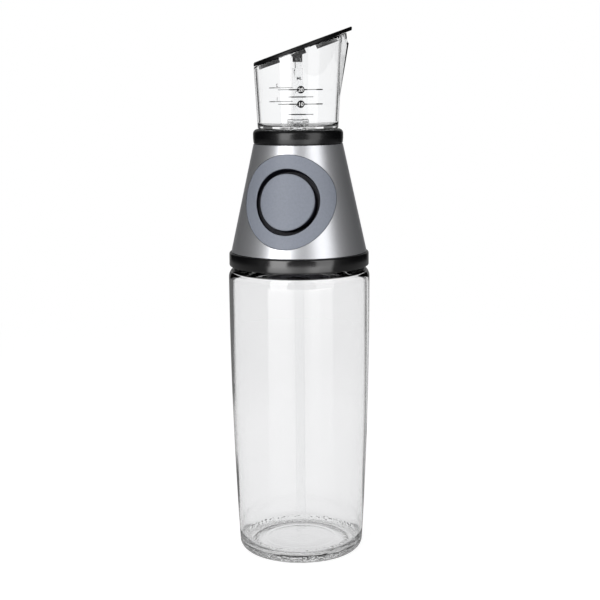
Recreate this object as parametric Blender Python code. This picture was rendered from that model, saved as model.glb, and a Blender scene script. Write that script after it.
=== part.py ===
"""Measuring oil bottle: a glass bottle under a screw-on pump head with a measuring cup.

Metres, +Z up. The origin is the centre of the base, on the surface that the bottle stands on,
and the push button faces -Y. Pressing the button squeezes a bellows, which draws oil up the dip
tube past the lower ball and sends it past the upper ball, up the riser and into the cup.
"""

import math

import bmesh
import bpy
from mathutils import Matrix, Vector

# Fits that several pieces share
CLEARANCE = 0.0003
OVERRUN = 0.004
ROOT_BITE = 0.0006

# Smoothness
ROUND = 36
PUMP_ROUND = 28
SMALL_ROUND = 20
PORT_ROUND = 8
ARC_STEPS = 3
FACE_ROUNDS = 12
SHARP_ANGLE = math.radians(35)
EDGE_SHARE = 1 - math.sqrt(0.5)

# Glass bottle
BODY_RADIUS = 0.0392
BODY_HEIGHT = 0.1630
BODY_TAPER = 0.0042
HEEL_ROUNDING = 0.0052
SHOULDER_ROUNDING = 0.0060
GLASS_WALL = 0.0025
GLASS_THIN_WALL = 0.0012
SHOULDER_GLASS = 0.0028
SHOULDER_CORNER = 0.0006
GLASS_FLOOR = 0.0046
FLOOR_CROWN = 0.0008
INNER_HEEL_ROUNDING = 0.0060
PUSH_UP = 0.0018
STANDING_RING = 0.0028
SHOULDER_WIDTH = 0.0106
NECK_WALL = 0.0026
NECK_HEIGHT = 0.0115
LIP_ROUNDING = 0.0008
BODY_ROWS = 5

# Screw thread of the neck and the base collar
THREAD_PITCH = 0.0040
THREAD_TURNS = 1.5
THREAD_DEPTH = 0.0014
THREAD_PLAY = 0.0004
THREAD_CREST = 0.0010
THREAD_FOOT = 0.0024
THREAD_LEAD_IN = 0.0025
THREAD_TAPER_STEPS = 3
THREAD_END_SHARE = 0.3

# Neck gasket
GASKET_WIDTH = 0.0030
GASKET_THICKNESS = 0.0015

# Base collar
COLLAR_INSET = 0.0004
COLLAR_HEIGHT = 0.0077
COLLAR_ROUNDING = 0.0012
COLLAR_UPSTAND = 0.0030
SLEEVE_WALL = 0.0024
PLATE_THICKNESS = 0.0018
PLATE_LIP = 0.0050

# Cone shell
COLLAR_LEDGE = 0.00125
CONE_TAPER_SHARE = 0.22
SHELL_WALL = 0.0007

# Button and its surround, on an axis square to the cone's slant
BUTTON_RADIUS = 0.0149
BUTTON_SHOULDER = 0.0010
BUTTON_SKIRT = 0.0090
BUTTON_WALL = 0.0016
BUTTON_TOP_WALL = 0.0018
BUTTON_TRAVEL = 0.0060
GROOVE_WIDTH = 0.0026
SURROUND_WIDTH = 0.0072
SURROUND_ABOVE_FOOT = 0.0049
SURROUND_BELOW_TOP = 0.0047
SURROUND_PROUD = 0.0002
SURROUND_WALL = 0.0022
GUIDE_WALL = 0.0015
GUIDE_DEPTH = 0.0090
EDGE_ROUNDING = 0.0006

# Plunger between the button and the bellows
PLUNGER_DISC = 0.0020
PLUNGER_DROP = 0.0053
STEM_RADIUS = 0.0060
STEM_LENGTH = 0.0045

# Bellows
BELLOWS_FOLD = 0.0022
BELLOWS_FOLDS = 3
BELLOWS_WALL = 0.0010
BELLOWS_FACE = 0.0012

# Pump body
GUARD_WALL = 0.0013
GUARD_FLANGE = 0.0020
GUARD_PLAY = 0.0006
ROOM_BEFORE_AXIS = 0.0031
ROOM_BACK_WALL = 0.0075
DECK_LAP = 0.0030
DECK_THICKNESS = 0.0015
SPIGOT_WALL = 0.0017
SPIGOT_DEPTH = 0.0042
COLUMN_RADIUS = 0.0075
COLUMN_BELOW_DECK = 0.0107
COLUMN_ROUNDING = 0.0005
CHANNEL_RADIUS = 0.0018
PORT_BELOW_BUTTON = 0.0080
UPPER_CHANNEL_START = 0.0005
VENT_RADIUS = 0.0008
VENT_PLACE = 0.0150

# Ball valves
BALL_RADIUS = 0.0025
BALL_LIFT = 0.0015
BALL_ROWS = 6
VALVE_SEAT = 0.0017
INLET_BORE = 0.0042
OUTLET_BORE = 0.0033
OUTLET_SEAT = 0.0028
RETAINER_HEIGHT = 0.0020
RETAINER_LOBES = 3
LOBE_STEPS = 8
RETAINER_HOLE = 0.0013
LOBE_REACH = 0.0013

# Inlet fitting and dip tube
FITTING_PLUG = 0.0058
FITTING_FLANGE = 0.0014
FITTING_FLANGE_RADIUS = 0.0065
FITTING_BORE = 0.0011
BARB_LENGTH = 0.0110
BARB_RADIUS = 0.0018
BARB_RIDGE = 0.0003
TUBE_WALL = 0.0006
TUBE_FLOOR_GAP = 0.0020

# Top collar
TOP_COLLAR_OVERHANG = 0.0001
TOP_COLLAR_FLARE = 0.0001
TOP_COLLAR_HEIGHT = 0.0078
TOP_COLLAR_ROUNDING = 0.0018
TOP_COLLAR_SKIRT = 0.0046
TOP_COLLAR_SKIRT_WALL = 0.0015
TOP_COLLAR_SKIRT_PLAY = 0.0003
WEB_THICKNESS = 0.0018
HUB_WALL = 0.0018
HUB_DEPTH = 0.0068
SOCKET_WALL = 0.0041
COLUMN_TOP_BELOW_CONE_TOP = 0.0033

# Seals
CUP_SEAL_WIDTH = 0.0008
CUP_SEAL_HEIGHT = 0.0014
CUP_SEAL_ABOVE_WEB = 0.0030
RISER_SEAL_WIDTH = 0.0012
RISER_SEAL_HEIGHT = 0.0025

# Riser and nozzle
RISER_RADIUS = 0.0028
RISER_BORE = 0.0018
RISER_FLANGE = 0.0042
RISER_FLANGE_THICKNESS = 0.0012
RISER_NECK_RADIUS = 0.0019
RISER_NECK_LENGTH = 0.0055
RISER_NECK_BORE = 0.0012
NOZZLE_RADIUS = 0.0026
NOZZLE_HEIGHT = 0.0049
NOZZLE_LID_GAP = 0.0004
NOZZLE_ABOVE_SHOULDER = 0.0033
NOZZLE_SLOT_WIDTH = 0.0009
NOZZLE_SLOT_HEIGHT = 0.0015
NOZZLE_TOP_WALL = 0.0008

# Measuring cup
CUP_TURN = math.radians(16.6)
CUP_LEDGE = 0.0014
CUP_DRAFT_SHARE = 0.055
CUP_WALL = 0.0015
CUP_FLOOR = 0.0012
CUP_FLOOR_RAISE = 0.0003
CUP_FOOT_ROUNDING = 0.0006
CUP_FLOOR_ROUNDING = 0.0007
CUP_SPIGOT_WALL = 0.0020
CUP_SPIGOT_DEPTH = 0.0067
BOSS_RADIUS = 0.0060
BOSS_HEIGHT = 0.0035
RIM_BACK_HEIGHT = 0.0339
RIM_SLOPE = math.radians(20.0)
SPOUT_START_HEIGHT = 0.0162
SPOUT_LEAN_SHARE = 0.13
SPOUT_HALF_ANGLE = math.radians(18)
NOTCH_DEPTH = 0.0062
NOTCH_HALF_WIDTH = 0.0036
CUP_COLUMNS = 48
CUP_WALL_ROWS = 5
COLUMN_CROWDING = 1.5

# Lid
LID_THICKNESS = 0.0020
LID_ROUNDING = 0.0004
LID_BEAK = 0.0008
LID_SKIRT_INSET = 0.0004
LID_SKIRT_WALL = 0.0011
LID_SKIRT_DEPTH = 0.0026
SKIRT_SPANS = ((84, 98), (123, 237), (262, 276), (293, 345), (15, 67))
SKIRT_STEP = 9

# Radii worked out from the body's and the button's
heel_radius = BODY_RADIUS - BODY_TAPER
neck_radius = BODY_RADIUS - SHOULDER_WIDTH
neck_bore = neck_radius - NECK_WALL
plate_hole = neck_bore - PLATE_LIP
collar_radius = BODY_RADIUS - COLLAR_INSET
cone_bottom_radius = collar_radius - COLLAR_LEDGE
groove_radius = BUTTON_RADIUS + GROOVE_WIDTH
guide_radius = groove_radius + GUIDE_WALL
surround_radius = groove_radius + SURROUND_WIDTH
cone_height = SURROUND_ABOVE_FOOT + 2 * surround_radius + SURROUND_BELOW_TOP
cone_top_radius = cone_bottom_radius - cone_height * CONE_TAPER_SHARE
top_collar_foot = cone_top_radius + TOP_COLLAR_OVERHANG
top_collar_radius = top_collar_foot + TOP_COLLAR_FLARE
socket_bore = top_collar_radius - SOCKET_WALL
cup_foot_radius = socket_bore + CUP_LEDGE

# Heights worked out from the bottom up
collar_bottom = BODY_HEIGHT + CLEARANCE
collar_top = collar_bottom + COLLAR_HEIGHT
lip_top = BODY_HEIGHT + NECK_HEIGHT
gasket_bottom = lip_top + CLEARANCE
plate_bottom = gasket_bottom + GASKET_THICKNESS + CLEARANCE
plate_top = plate_bottom + PLATE_THICKNESS
deck_bottom = plate_top + CLEARANCE
deck_top = deck_bottom + DECK_THICKNESS
cone_bottom = collar_top + CLEARANCE
cone_top = cone_bottom + cone_height
top_collar_bottom = cone_top + CLEARANCE
top_collar_top = top_collar_bottom + TOP_COLLAR_HEIGHT
web_top = top_collar_bottom
cup_bottom = top_collar_top + CLEARANCE
floor_bottom = cup_bottom + CUP_FLOOR_RAISE
floor_top = floor_bottom + CUP_FLOOR
rim_over_axis = cup_bottom + RIM_BACK_HEIGHT + cup_foot_radius * math.tan(RIM_SLOPE)
nozzle_top = rim_over_axis - NOZZLE_RADIUS * math.tan(RIM_SLOPE) - NOZZLE_LID_GAP
nozzle_bottom = nozzle_top - NOZZLE_HEIGHT
riser_shoulder = nozzle_bottom - NOZZLE_ABOVE_SHOULDER

# The button's axis: local X is X, local Y runs up the slant and local Z points out of the cone
cone_tilt = math.atan(CONE_TAPER_SHARE)
centre_height = cone_bottom + SURROUND_ABOVE_FOOT + surround_radius
centre_radius = cone_bottom_radius - (centre_height - cone_bottom) * CONE_TAPER_SHARE
axis_depth = centre_radius / math.cos(cone_tilt)
button_frame = Matrix.Translation((0, -centre_radius, centre_height)) @ Matrix.Rotation(
    math.pi / 2 - cone_tilt, 4, "X"
)

# Depths behind the button's centre, along its axis
guard_front = -GUIDE_DEPTH - CLEARANCE
guard_step = -BUTTON_SKIRT - BUTTON_TRAVEL - 2 * CLEARANCE
room_back = ROOM_BEFORE_AXIS - axis_depth
bellows_radius = BUTTON_RADIUS - BUTTON_WALL
room_radius = bellows_radius + 2 * CLEARANCE
guard_bore = BUTTON_RADIUS + GUARD_PLAY
guard_radius = guard_bore + GUARD_WALL
plunger_back = -PLUNGER_DROP - PLUNGER_DISC
bellows_front = plunger_back - STEM_LENGTH - CLEARANCE
bellows_back = room_back + CLEARANCE

# Heights of the valves and of the column that holds them
column_bottom = deck_bottom - COLUMN_BELOW_DECK
column_top = top_collar_bottom - COLUMN_TOP_BELOW_CONE_TOP
ball_rest = math.sqrt(BALL_RADIUS**2 - VALVE_SEAT**2) + CLEARANCE
ball_room = ball_rest + BALL_RADIUS + BALL_LIFT + CLEARANCE
inlet_seat = column_bottom + FITTING_PLUG
inlet_retainer_bottom = inlet_seat + ball_room
inlet_bore_top = inlet_retainer_bottom + RETAINER_HEIGHT + CLEARANCE
room_top = (button_frame @ Vector((0, room_radius, room_back))).z
port_height = (button_frame @ Vector((0, -PORT_BELOW_BUTTON, -axis_depth))).z
outlet_seat = room_top + OUTLET_SEAT
outlet_retainer_bottom = outlet_seat + ball_room
riser_bottom = outlet_retainer_bottom + RETAINER_HEIGHT + CLEARANCE
seal_bore = RISER_RADIUS + RISER_SEAL_WIDTH + 2 * CLEARANCE
seal_floor = column_top - RISER_SEAL_HEIGHT - 2 * CLEARANCE


def clear_scene():
    """Remove whatever the file opened with."""
    for obj in list(bpy.data.objects):
        bpy.data.objects.remove(obj, do_unlink=True)


def material(name, color, roughness, metallic=0.0, transmission=0.0):
    """A Principled material."""
    made = bpy.data.materials.new(name)
    made.use_nodes = True
    shader = made.node_tree.nodes["Principled BSDF"]
    shader.inputs["Base Color"].default_value = (*color, 1)
    shader.inputs["Roughness"].default_value = roughness
    shader.inputs["Metallic"].default_value = metallic
    shader.inputs["Transmission Weight"].default_value = transmission
    return made


def rounded(corners):
    """The closed outline through (x, y, radius) corners, each turned by an arc of that radius."""
    points = []
    for index, (x, y, radius) in enumerate(corners):
        here = Vector((x, y))
        if not radius:
            points.append(here)
            continue
        before = (Vector(corners[index - 1][:2]) - here).normalized()
        after = (Vector(corners[(index + 1) % len(corners)][:2]) - here).normalized()
        half = before.angle(after) / 2
        middle = here + (before + after).normalized() * (radius / math.sin(half))
        start = here + before * (radius / math.tan(half)) - middle
        end = here + after * (radius / math.tan(half)) - middle
        for step in range(ARC_STEPS + 1):
            points.append(middle + start.slerp(end, step / ARC_STEPS).normalized() * radius)
    return points


def arc(centre, radius, start, end, steps):
    """Points of an arc of a circle, angles in degrees."""
    turns = [math.radians(start + (end - start) * step / steps) for step in range(steps + 1)]
    return [(centre[0] + radius * math.cos(a), centre[1] + radius * math.sin(a)) for a in turns]


def skin(rings, closed=False):
    """A closed body through rings of points. A ring of one point is a pole, and open ends are capped."""
    bm = bmesh.new()
    rows = [[bm.verts.new(point) for point in ring] for ring in rings]
    pairs = list(zip(rows, rows[1:]))
    if closed:
        pairs.append((rows[-1], rows[0]))
    else:
        for end in (rows[0], rows[-1]):
            if len(end) > 1:
                bm.faces.new(end)
    for lower, upper in pairs:
        count = max(len(lower), len(upper))
        for index in range(count):
            after = (index + 1) % count
            corners = [
                lower[index % len(lower)],
                lower[after % len(lower)],
                upper[after % len(upper)],
                upper[index % len(upper)],
            ]
            bm.faces.new(list(dict.fromkeys(corners)))
    bmesh.ops.recalc_face_normals(bm, faces=bm.faces)
    return bm


def lathe(outline, segments=ROUND):
    """A body turned about Z from (radius, height) points, closed on itself or from pole to pole."""
    rings = []
    for radius, height in outline:
        count = segments if radius else 1
        angles = [2 * math.pi * index / count for index in range(count)]
        rings.append([(radius * math.cos(a), radius * math.sin(a), height) for a in angles])
    return skin(rings, closed=all(radius for radius, _ in outline))


def cylinder(radius, bottom, top, segments=SMALL_ROUND):
    """A plain cylinder about Z."""
    return lathe([(0, bottom), (radius, bottom), (radius, top), (0, top)], segments)


def add(name, bm, finish, parent=None, turn=0.0):
    """Link the mesh as an object of that name, smooth between its sharp edges."""
    mesh = bpy.data.meshes.new(name)
    bm.to_mesh(mesh)
    bm.free()
    mesh.shade_smooth()
    mesh.set_sharp_from_angle(angle=SHARP_ANGLE)
    if finish:
        mesh.materials.append(finish)
    obj = bpy.data.objects.new(name, mesh)
    bpy.context.scene.collection.objects.link(obj)
    obj.parent = parent
    obj.rotation_euler.z = turn
    return obj


def apply_tool(obj, operation, name, bm, parent=None, turn=0.0, solver="EXACT"):
    """Join the tool's shape to the object or cut it out of it."""
    tool = add(name, bm, None, parent, turn)
    tool.hide_render = True
    tool.display_type = "WIRE"
    boolean = obj.modifiers.new(name, "BOOLEAN")
    boolean.operation = operation
    boolean.solver = solver
    boolean.object = tool


def thread_ridge(root, crest, start):
    """A helical ridge that tapers away at both ends. Its foot sinks into the wall at the root."""
    sunk = root - math.copysign(ROOT_BITE, crest - root)
    steps = round(ROUND * THREAD_TURNS)
    rings = []
    for step in range(steps + 1):
        from_end = min(step, steps - step)
        height_share = min(1, from_end / THREAD_TAPER_STEPS)
        tip = sunk + (crest - sunk) * max(height_share, THREAD_END_SHARE)
        angle = 2 * math.pi * step / ROUND
        middle = start + THREAD_PITCH * step / ROUND
        ring = []
        for radius, offset in (
            (sunk, -THREAD_FOOT / 2),
            (tip, -THREAD_CREST / 2),
            (tip, THREAD_CREST / 2),
            (sunk, THREAD_FOOT / 2),
        ):
            ring.append((radius * math.cos(angle), radius * math.sin(angle), middle + offset))
        rings.append(ring)
    return skin(rings)


def body_radius(height):
    """Outer radius of the glass: a gentle curve that narrows down to the heel."""
    top = BODY_HEIGHT - SHOULDER_ROUNDING
    drop = (top - height) / (top - HEEL_ROUNDING)
    return BODY_RADIUS - BODY_TAPER * drop**2


def inner_radius(height):
    """Inner radius of the glass: straight below the shoulder, then a thin even wall."""
    return min(BODY_RADIUS - GLASS_WALL, body_radius(height) - GLASS_THIN_WALL)


def body_stretch(bottom, top, side):
    """Points up the outer or the inner side of the glass."""
    heights = [bottom + (top - bottom) * row / BODY_ROWS for row in range(1, BODY_ROWS)]
    return [(side(height), height) for height in heights]


def glass_bottle(finish):
    """Bottle body with a heavy base, a rounded shoulder and a threaded neck."""
    ring_outside = heel_radius - HEEL_ROUNDING
    ring_inside = ring_outside - STANDING_RING
    shoulder_low = BODY_HEIGHT - SHOULDER_ROUNDING
    shoulder_inner = BODY_RADIUS - SHOULDER_ROUNDING
    outside = [(0, PUSH_UP), (ring_inside - PUSH_UP, PUSH_UP), (ring_inside, 0)]
    outside += arc((ring_outside, HEEL_ROUNDING), HEEL_ROUNDING, -90, 0, ARC_STEPS + 1)
    outside += body_stretch(HEEL_ROUNDING, shoulder_low, body_radius)
    outside += arc((shoulder_inner, shoulder_low), SHOULDER_ROUNDING, 0, 90, ARC_STEPS + 1)
    outside += [(neck_radius, BODY_HEIGHT)]
    lip = [
        (neck_radius, lip_top - LIP_ROUNDING),
        (neck_radius - LIP_ROUNDING, lip_top),
        (neck_bore + LIP_ROUNDING, lip_top),
        (neck_bore, lip_top - LIP_ROUNDING),
    ]
    inner_low = GLASS_FLOOR + INNER_HEEL_ROUNDING
    inner_heel = inner_radius(inner_low) - INNER_HEEL_ROUNDING
    ceiling = BODY_HEIGHT - SHOULDER_GLASS
    corner = inner_radius(ceiling)
    inside = [
        (neck_bore, ceiling),
        (corner - SHOULDER_CORNER, ceiling),
        (corner, ceiling - SHOULDER_CORNER),
    ]
    inside += reversed(body_stretch(inner_low, ceiling, inner_radius))
    inside += arc((inner_heel, inner_low), INNER_HEEL_ROUNDING, 0, -90, ARC_STEPS)
    inside += [(0, GLASS_FLOOR + FLOOR_CROWN)]
    bottle = add("glass_bottle", lathe(outside + lip + inside), finish)
    ridge = thread_ridge(neck_radius, neck_radius + THREAD_DEPTH, BODY_HEIGHT + THREAD_LEAD_IN)
    apply_tool(bottle, "UNION", "neck_thread", ridge)


def neck_gasket(finish):
    """Flat ring on the rim of the neck."""
    inner = neck_radius - GASKET_WIDTH
    top = gasket_bottom + GASKET_THICKNESS
    outline = [
        (inner, gasket_bottom),
        (neck_radius, gasket_bottom),
        (neck_radius, top),
        (inner, top),
    ]
    add("neck_gasket", lathe(outline), finish)


def base_collar(finish):
    """Screw closure: the black ring, a ledge for the cone and the plate that carries the pump."""
    root = neck_radius + THREAD_DEPTH + THREAD_PLAY
    sleeve = root + SLEEVE_WALL
    upstand_top = collar_top + COLLAR_UPSTAND
    inner_slant = SHELL_WALL / math.cos(cone_tilt) + 2 * CLEARANCE
    outline = rounded([
        (root, collar_bottom, 0),
        (collar_radius, collar_bottom, COLLAR_ROUNDING),
        (collar_radius, collar_top, COLLAR_ROUNDING),
        (cone_radius(collar_top) - inner_slant, collar_top, 0),
        (cone_radius(upstand_top) - inner_slant, upstand_top, 0),
        (sleeve, upstand_top, 0),
        (sleeve, plate_top, 0),
        (plate_hole, plate_top, 0),
        (plate_hole, plate_bottom, 0),
        (root, plate_bottom, 0),
    ])
    collar = add("base_collar", lathe(outline), finish)
    half_pitch_up = BODY_HEIGHT + THREAD_LEAD_IN + THREAD_PITCH / 2
    apply_tool(collar, "UNION", "collar_thread", thread_ridge(root, root - THREAD_DEPTH, half_pitch_up))


def cone_radius(height):
    """Outer radius of the cone shell."""
    return cone_bottom_radius - (height - cone_bottom) * CONE_TAPER_SHARE


def cone_shell(finish, button_axis):
    """Sheet metal cone with a round window for the button."""
    wall = SHELL_WALL / math.cos(cone_tilt)
    outline = [
        (cone_radius(cone_bottom), cone_bottom),
        (cone_radius(cone_top), cone_top),
        (cone_radius(cone_top) - wall, cone_top),
        (cone_radius(cone_bottom) - wall, cone_bottom),
    ]
    shell = add("cone_shell", lathe(outline), finish)
    rim = face_outline(surround_radius + CLEARANCE, ROUND, True)
    window = skin([[(*spot, depth) for spot in rim] for depth in (-axis_depth / 2, OVERRUN)])
    apply_tool(shell, "DIFFERENCE", "button_window", window, button_axis)


def face_depth(across, up):
    """Height of the cone's surface over the plane that touches it at the button's centre, zero or less."""
    reach = (centre_radius - up * math.sin(cone_tilt)) / math.cos(cone_tilt)
    fall = 1 - CONE_TAPER_SHARE**2
    return (math.sqrt(reach**2 - fall * across**2) - reach) / fall


def face_outline(radius, count, seen):
    """Spots across and up the face: round about a level axis where it is seen, else about the button's."""
    spots = []
    for index in range(count):
        angle = 2 * math.pi * index / count
        across = radius * math.cos(angle)
        up = radius * math.sin(angle)
        for _ in range(FACE_ROUNDS if seen else 0):
            sunk = face_depth(across, up) * math.sin(cone_tilt)
            up = (radius * math.sin(angle) - sunk) / math.cos(cone_tilt)
        spots.append((across, up))
    return spots


def conformal(rows):
    """A body about the button's axis. A row is (radius, is it seen, does it follow the cone, height)."""
    rings = []
    for radius, seen, follows, height in rows:
        spots = face_outline(radius, ROUND if radius else 1, seen)
        rings.append([(x, y, height + (face_depth(x, y) if follows else 0)) for x, y in spots])
    return skin(rings, closed=all(row[0] for row in rows))


def button_surround(finish, button_axis):
    """Grey ring, flush with the cone, with the guide collar that forms the groove's outer wall."""
    soften = EDGE_ROUNDING * EDGE_SHARE
    rows = [
        (groove_radius, False, False, -GUIDE_DEPTH),
        (groove_radius, True, True, SURROUND_PROUD - EDGE_ROUNDING),
        (groove_radius + soften, True, True, SURROUND_PROUD - soften),
        (groove_radius + EDGE_ROUNDING, True, True, SURROUND_PROUD),
        (surround_radius - EDGE_ROUNDING, True, True, SURROUND_PROUD),
        (surround_radius - soften, True, True, SURROUND_PROUD - soften),
        (surround_radius, True, True, SURROUND_PROUD - EDGE_ROUNDING),
        (surround_radius, True, True, -SURROUND_WALL),
        (guide_radius, True, True, -SURROUND_WALL),
        (guide_radius, False, False, -GUIDE_DEPTH),
    ]
    add("button_surround", conformal(rows), finish, button_axis)


def push_button(finish, button_axis):
    """Grey cap whose face follows the cone, open at the back."""
    inner = BUTTON_RADIUS - BUTTON_WALL
    soften = EDGE_ROUNDING * EDGE_SHARE
    rows = [
        (0, True, True, SURROUND_PROUD),
        (BUTTON_RADIUS / 2, True, True, SURROUND_PROUD),
        (BUTTON_RADIUS - EDGE_ROUNDING, True, True, SURROUND_PROUD),
        (BUTTON_RADIUS - soften, True, True, SURROUND_PROUD - soften),
        (BUTTON_RADIUS, True, True, SURROUND_PROUD - EDGE_ROUNDING),
        (BUTTON_RADIUS, False, True, -BUTTON_SHOULDER),
        (BUTTON_RADIUS, False, False, -BUTTON_SKIRT),
        (inner, False, False, -BUTTON_SKIRT),
        (inner, False, True, -BUTTON_TOP_WALL),
        (inner / 2, False, True, -BUTTON_TOP_WALL),
        (0, False, True, -BUTTON_TOP_WALL),
    ]
    add("push_button", conformal(rows), finish, button_axis)


def button_plunger(finish, button_axis):
    """Disc inside the button and the stem that pushes the bellows."""
    disc = BUTTON_RADIUS - BUTTON_WALL - CLEARANCE
    outline = [
        (0, plunger_back - STEM_LENGTH),
        (STEM_RADIUS, plunger_back - STEM_LENGTH),
        (STEM_RADIUS, plunger_back),
        (disc, plunger_back),
        (disc, -PLUNGER_DROP),
        (0, -PLUNGER_DROP),
    ]
    add("button_plunger", lathe(outline, SMALL_ROUND), finish, button_axis)


def pump_bellows(finish, button_axis):
    """Folded silicone cup, closed in front and seated on the pump room's back wall."""
    side_front = bellows_front - BELLOWS_FACE
    length = side_front - bellows_back
    outside = [(0, bellows_front), (bellows_radius - BELLOWS_FOLD, bellows_front)]
    inside = [(0, side_front), (bellows_radius - BELLOWS_FOLD - BELLOWS_WALL, side_front)]
    for fold in range(BELLOWS_FOLDS):
        for part, sink in ((0.5, 0), (1, BELLOWS_FOLD)):
            height = side_front - length * (fold + part) / BELLOWS_FOLDS
            outside.append((bellows_radius - sink, height))
            inside.append((bellows_radius - sink - BELLOWS_WALL, height))
    outline = outside + inside[::-1]
    add("pump_bellows", lathe(outline, SMALL_ROUND), finish, button_axis)


def pump_body(finish, button_axis):
    """Deck on the collar's plate, the bellows guard on the button's axis and the valve column."""
    deck_radius = plate_hole + DECK_LAP
    spigot = plate_hole - CLEARANCE
    spigot_bottom = deck_bottom - SPIGOT_DEPTH
    outline = rounded([
        (0, column_bottom, 0),
        (COLUMN_RADIUS, column_bottom, COLUMN_ROUNDING),
        (COLUMN_RADIUS, deck_bottom, 0),
        (spigot - SPIGOT_WALL, deck_bottom, 0),
        (spigot - SPIGOT_WALL, spigot_bottom, 0),
        (spigot, spigot_bottom, 0),
        (spigot, deck_bottom, 0),
        (deck_radius, deck_bottom, 0),
        (deck_radius, deck_top, 0),
        (COLUMN_RADIUS, deck_top, 0),
        (COLUMN_RADIUS, column_top, COLUMN_ROUNDING),
        (0, column_top, 0),
    ])
    pump = add("pump_body", lathe(outline, PUMP_ROUND), finish)
    guard_back = room_back - ROOM_BACK_WALL
    guard = [
        (0, guard_back),
        (guard_radius, guard_back),
        (guard_radius, guard_front - GUARD_FLANGE),
        (guide_radius, guard_front - GUARD_FLANGE),
        (guide_radius, guard_front),
        (0, guard_front),
    ]
    apply_tool(pump, "UNION", "bellows_guard", lathe(guard, PUMP_ROUND), button_axis, solver="MANIFOLD")
    room = [
        (0, room_back),
        (room_radius, room_back),
        (room_radius, guard_step),
        (guard_bore, guard_step),
        (guard_bore, OVERRUN),
        (0, OVERRUN),
    ]
    apply_tool(pump, "DIFFERENCE", "bellows_room", lathe(room, PUMP_ROUND), button_axis, solver="MANIFOLD")
    port = cylinder(CHANNEL_RADIUS, -axis_depth - CHANNEL_RADIUS, room_back + CHANNEL_RADIUS, PORT_ROUND)
    bmesh.ops.translate(port, verts=port.verts, vec=(0, -PORT_BELOW_BUTTON, 0))
    apply_tool(pump, "DIFFERENCE", "inlet_port", port, button_axis, solver="MANIFOLD")
    inlet = [
        (0, column_bottom - OVERRUN),
        (INLET_BORE, column_bottom - OVERRUN),
        (INLET_BORE, inlet_bore_top),
        (CHANNEL_RADIUS, inlet_bore_top),
        (CHANNEL_RADIUS, port_height),
        (0, port_height),
    ]
    apply_tool(pump, "DIFFERENCE", "inlet_bore", lathe(inlet, SMALL_ROUND), solver="MANIFOLD")
    outlet = [
        (0, centre_height - UPPER_CHANNEL_START),
        (VALVE_SEAT, centre_height - UPPER_CHANNEL_START),
        (VALVE_SEAT, outlet_seat),
        (OUTLET_BORE, outlet_seat),
        (OUTLET_BORE, seal_floor),
        (seal_bore, seal_floor),
        (seal_bore, column_top + OVERRUN),
        (0, column_top + OVERRUN),
    ]
    apply_tool(pump, "DIFFERENCE", "outlet_bore", lathe(outlet, SMALL_ROUND), solver="MANIFOLD")
    vent = cylinder(VENT_RADIUS, deck_bottom - OVERRUN, deck_top + OVERRUN, PORT_ROUND)
    bmesh.ops.translate(vent, verts=vent.verts, vec=(0, VENT_PLACE, 0))
    apply_tool(pump, "DIFFERENCE", "air_vent", vent, solver="MANIFOLD")


def valve_ball(name, seat, finish):
    """Steel ball just over its seat."""
    bm = bmesh.new()
    place = Matrix.Translation((0, 0, seat + ball_rest))
    bmesh.ops.create_uvsphere(
        bm, u_segments=2 * BALL_ROWS, v_segments=BALL_ROWS, radius=BALL_RADIUS, matrix=place
    )
    add(name, bm, finish)


def valve_retainer(name, bottom, bore, finish):
    """Ring whose lobed hole stops the ball and lets the oil past it."""
    rings = []
    for inner, height in ((False, bottom), (True, bottom), (True, bottom + RETAINER_HEIGHT),
                          (False, bottom + RETAINER_HEIGHT)):
        ring = []
        for index in range(LOBE_STEPS * RETAINER_LOBES):
            angle = 2 * math.pi * index / (LOBE_STEPS * RETAINER_LOBES)
            wave = (1 + math.cos(RETAINER_LOBES * angle)) / 2
            radius = RETAINER_HOLE + LOBE_REACH * wave if inner else bore - CLEARANCE
            ring.append((radius * math.cos(angle), radius * math.sin(angle), height))
        rings.append(ring)
    add(name, skin(rings, closed=True), finish)


def inlet_fitting(finish):
    """Plug in the column's foot: the lower valve's seat above, the dip tube's barb below."""
    plug = INLET_BORE - CLEARANCE
    flange_top = column_bottom - CLEARANCE
    flange_bottom = flange_top - FITTING_FLANGE
    barb_end = flange_bottom - BARB_LENGTH
    seat_start = inlet_seat - VALVE_SEAT
    outline = [
        (FITTING_BORE, barb_end),
        (BARB_RADIUS, barb_end),
        (BARB_RADIUS + BARB_RIDGE, barb_end + BARB_RADIUS),
        (BARB_RADIUS, barb_end + BARB_RADIUS),
        (BARB_RADIUS, flange_bottom),
        (FITTING_FLANGE_RADIUS, flange_bottom),
        (FITTING_FLANGE_RADIUS, flange_top),
        (plug, flange_top),
        (plug, inlet_seat),
        (VALVE_SEAT, inlet_seat),
        (FITTING_BORE, seat_start),
    ]
    add("inlet_fitting", lathe(outline, SMALL_ROUND), finish)


def dip_tube(finish):
    """Straight clear tube over the barb, ending just above the bottle's floor."""
    bottom = GLASS_FLOOR + FLOOR_CROWN + TUBE_FLOOR_GAP
    top = column_bottom - FITTING_FLANGE - 2 * CLEARANCE
    bore = BARB_RADIUS + BARB_RIDGE + CLEARANCE
    outer = bore + TUBE_WALL
    outline = [(bore, bottom), (outer, bottom), (outer, top), (bore, top)]
    add("dip_tube", lathe(outline, SMALL_ROUND), finish)


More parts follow.
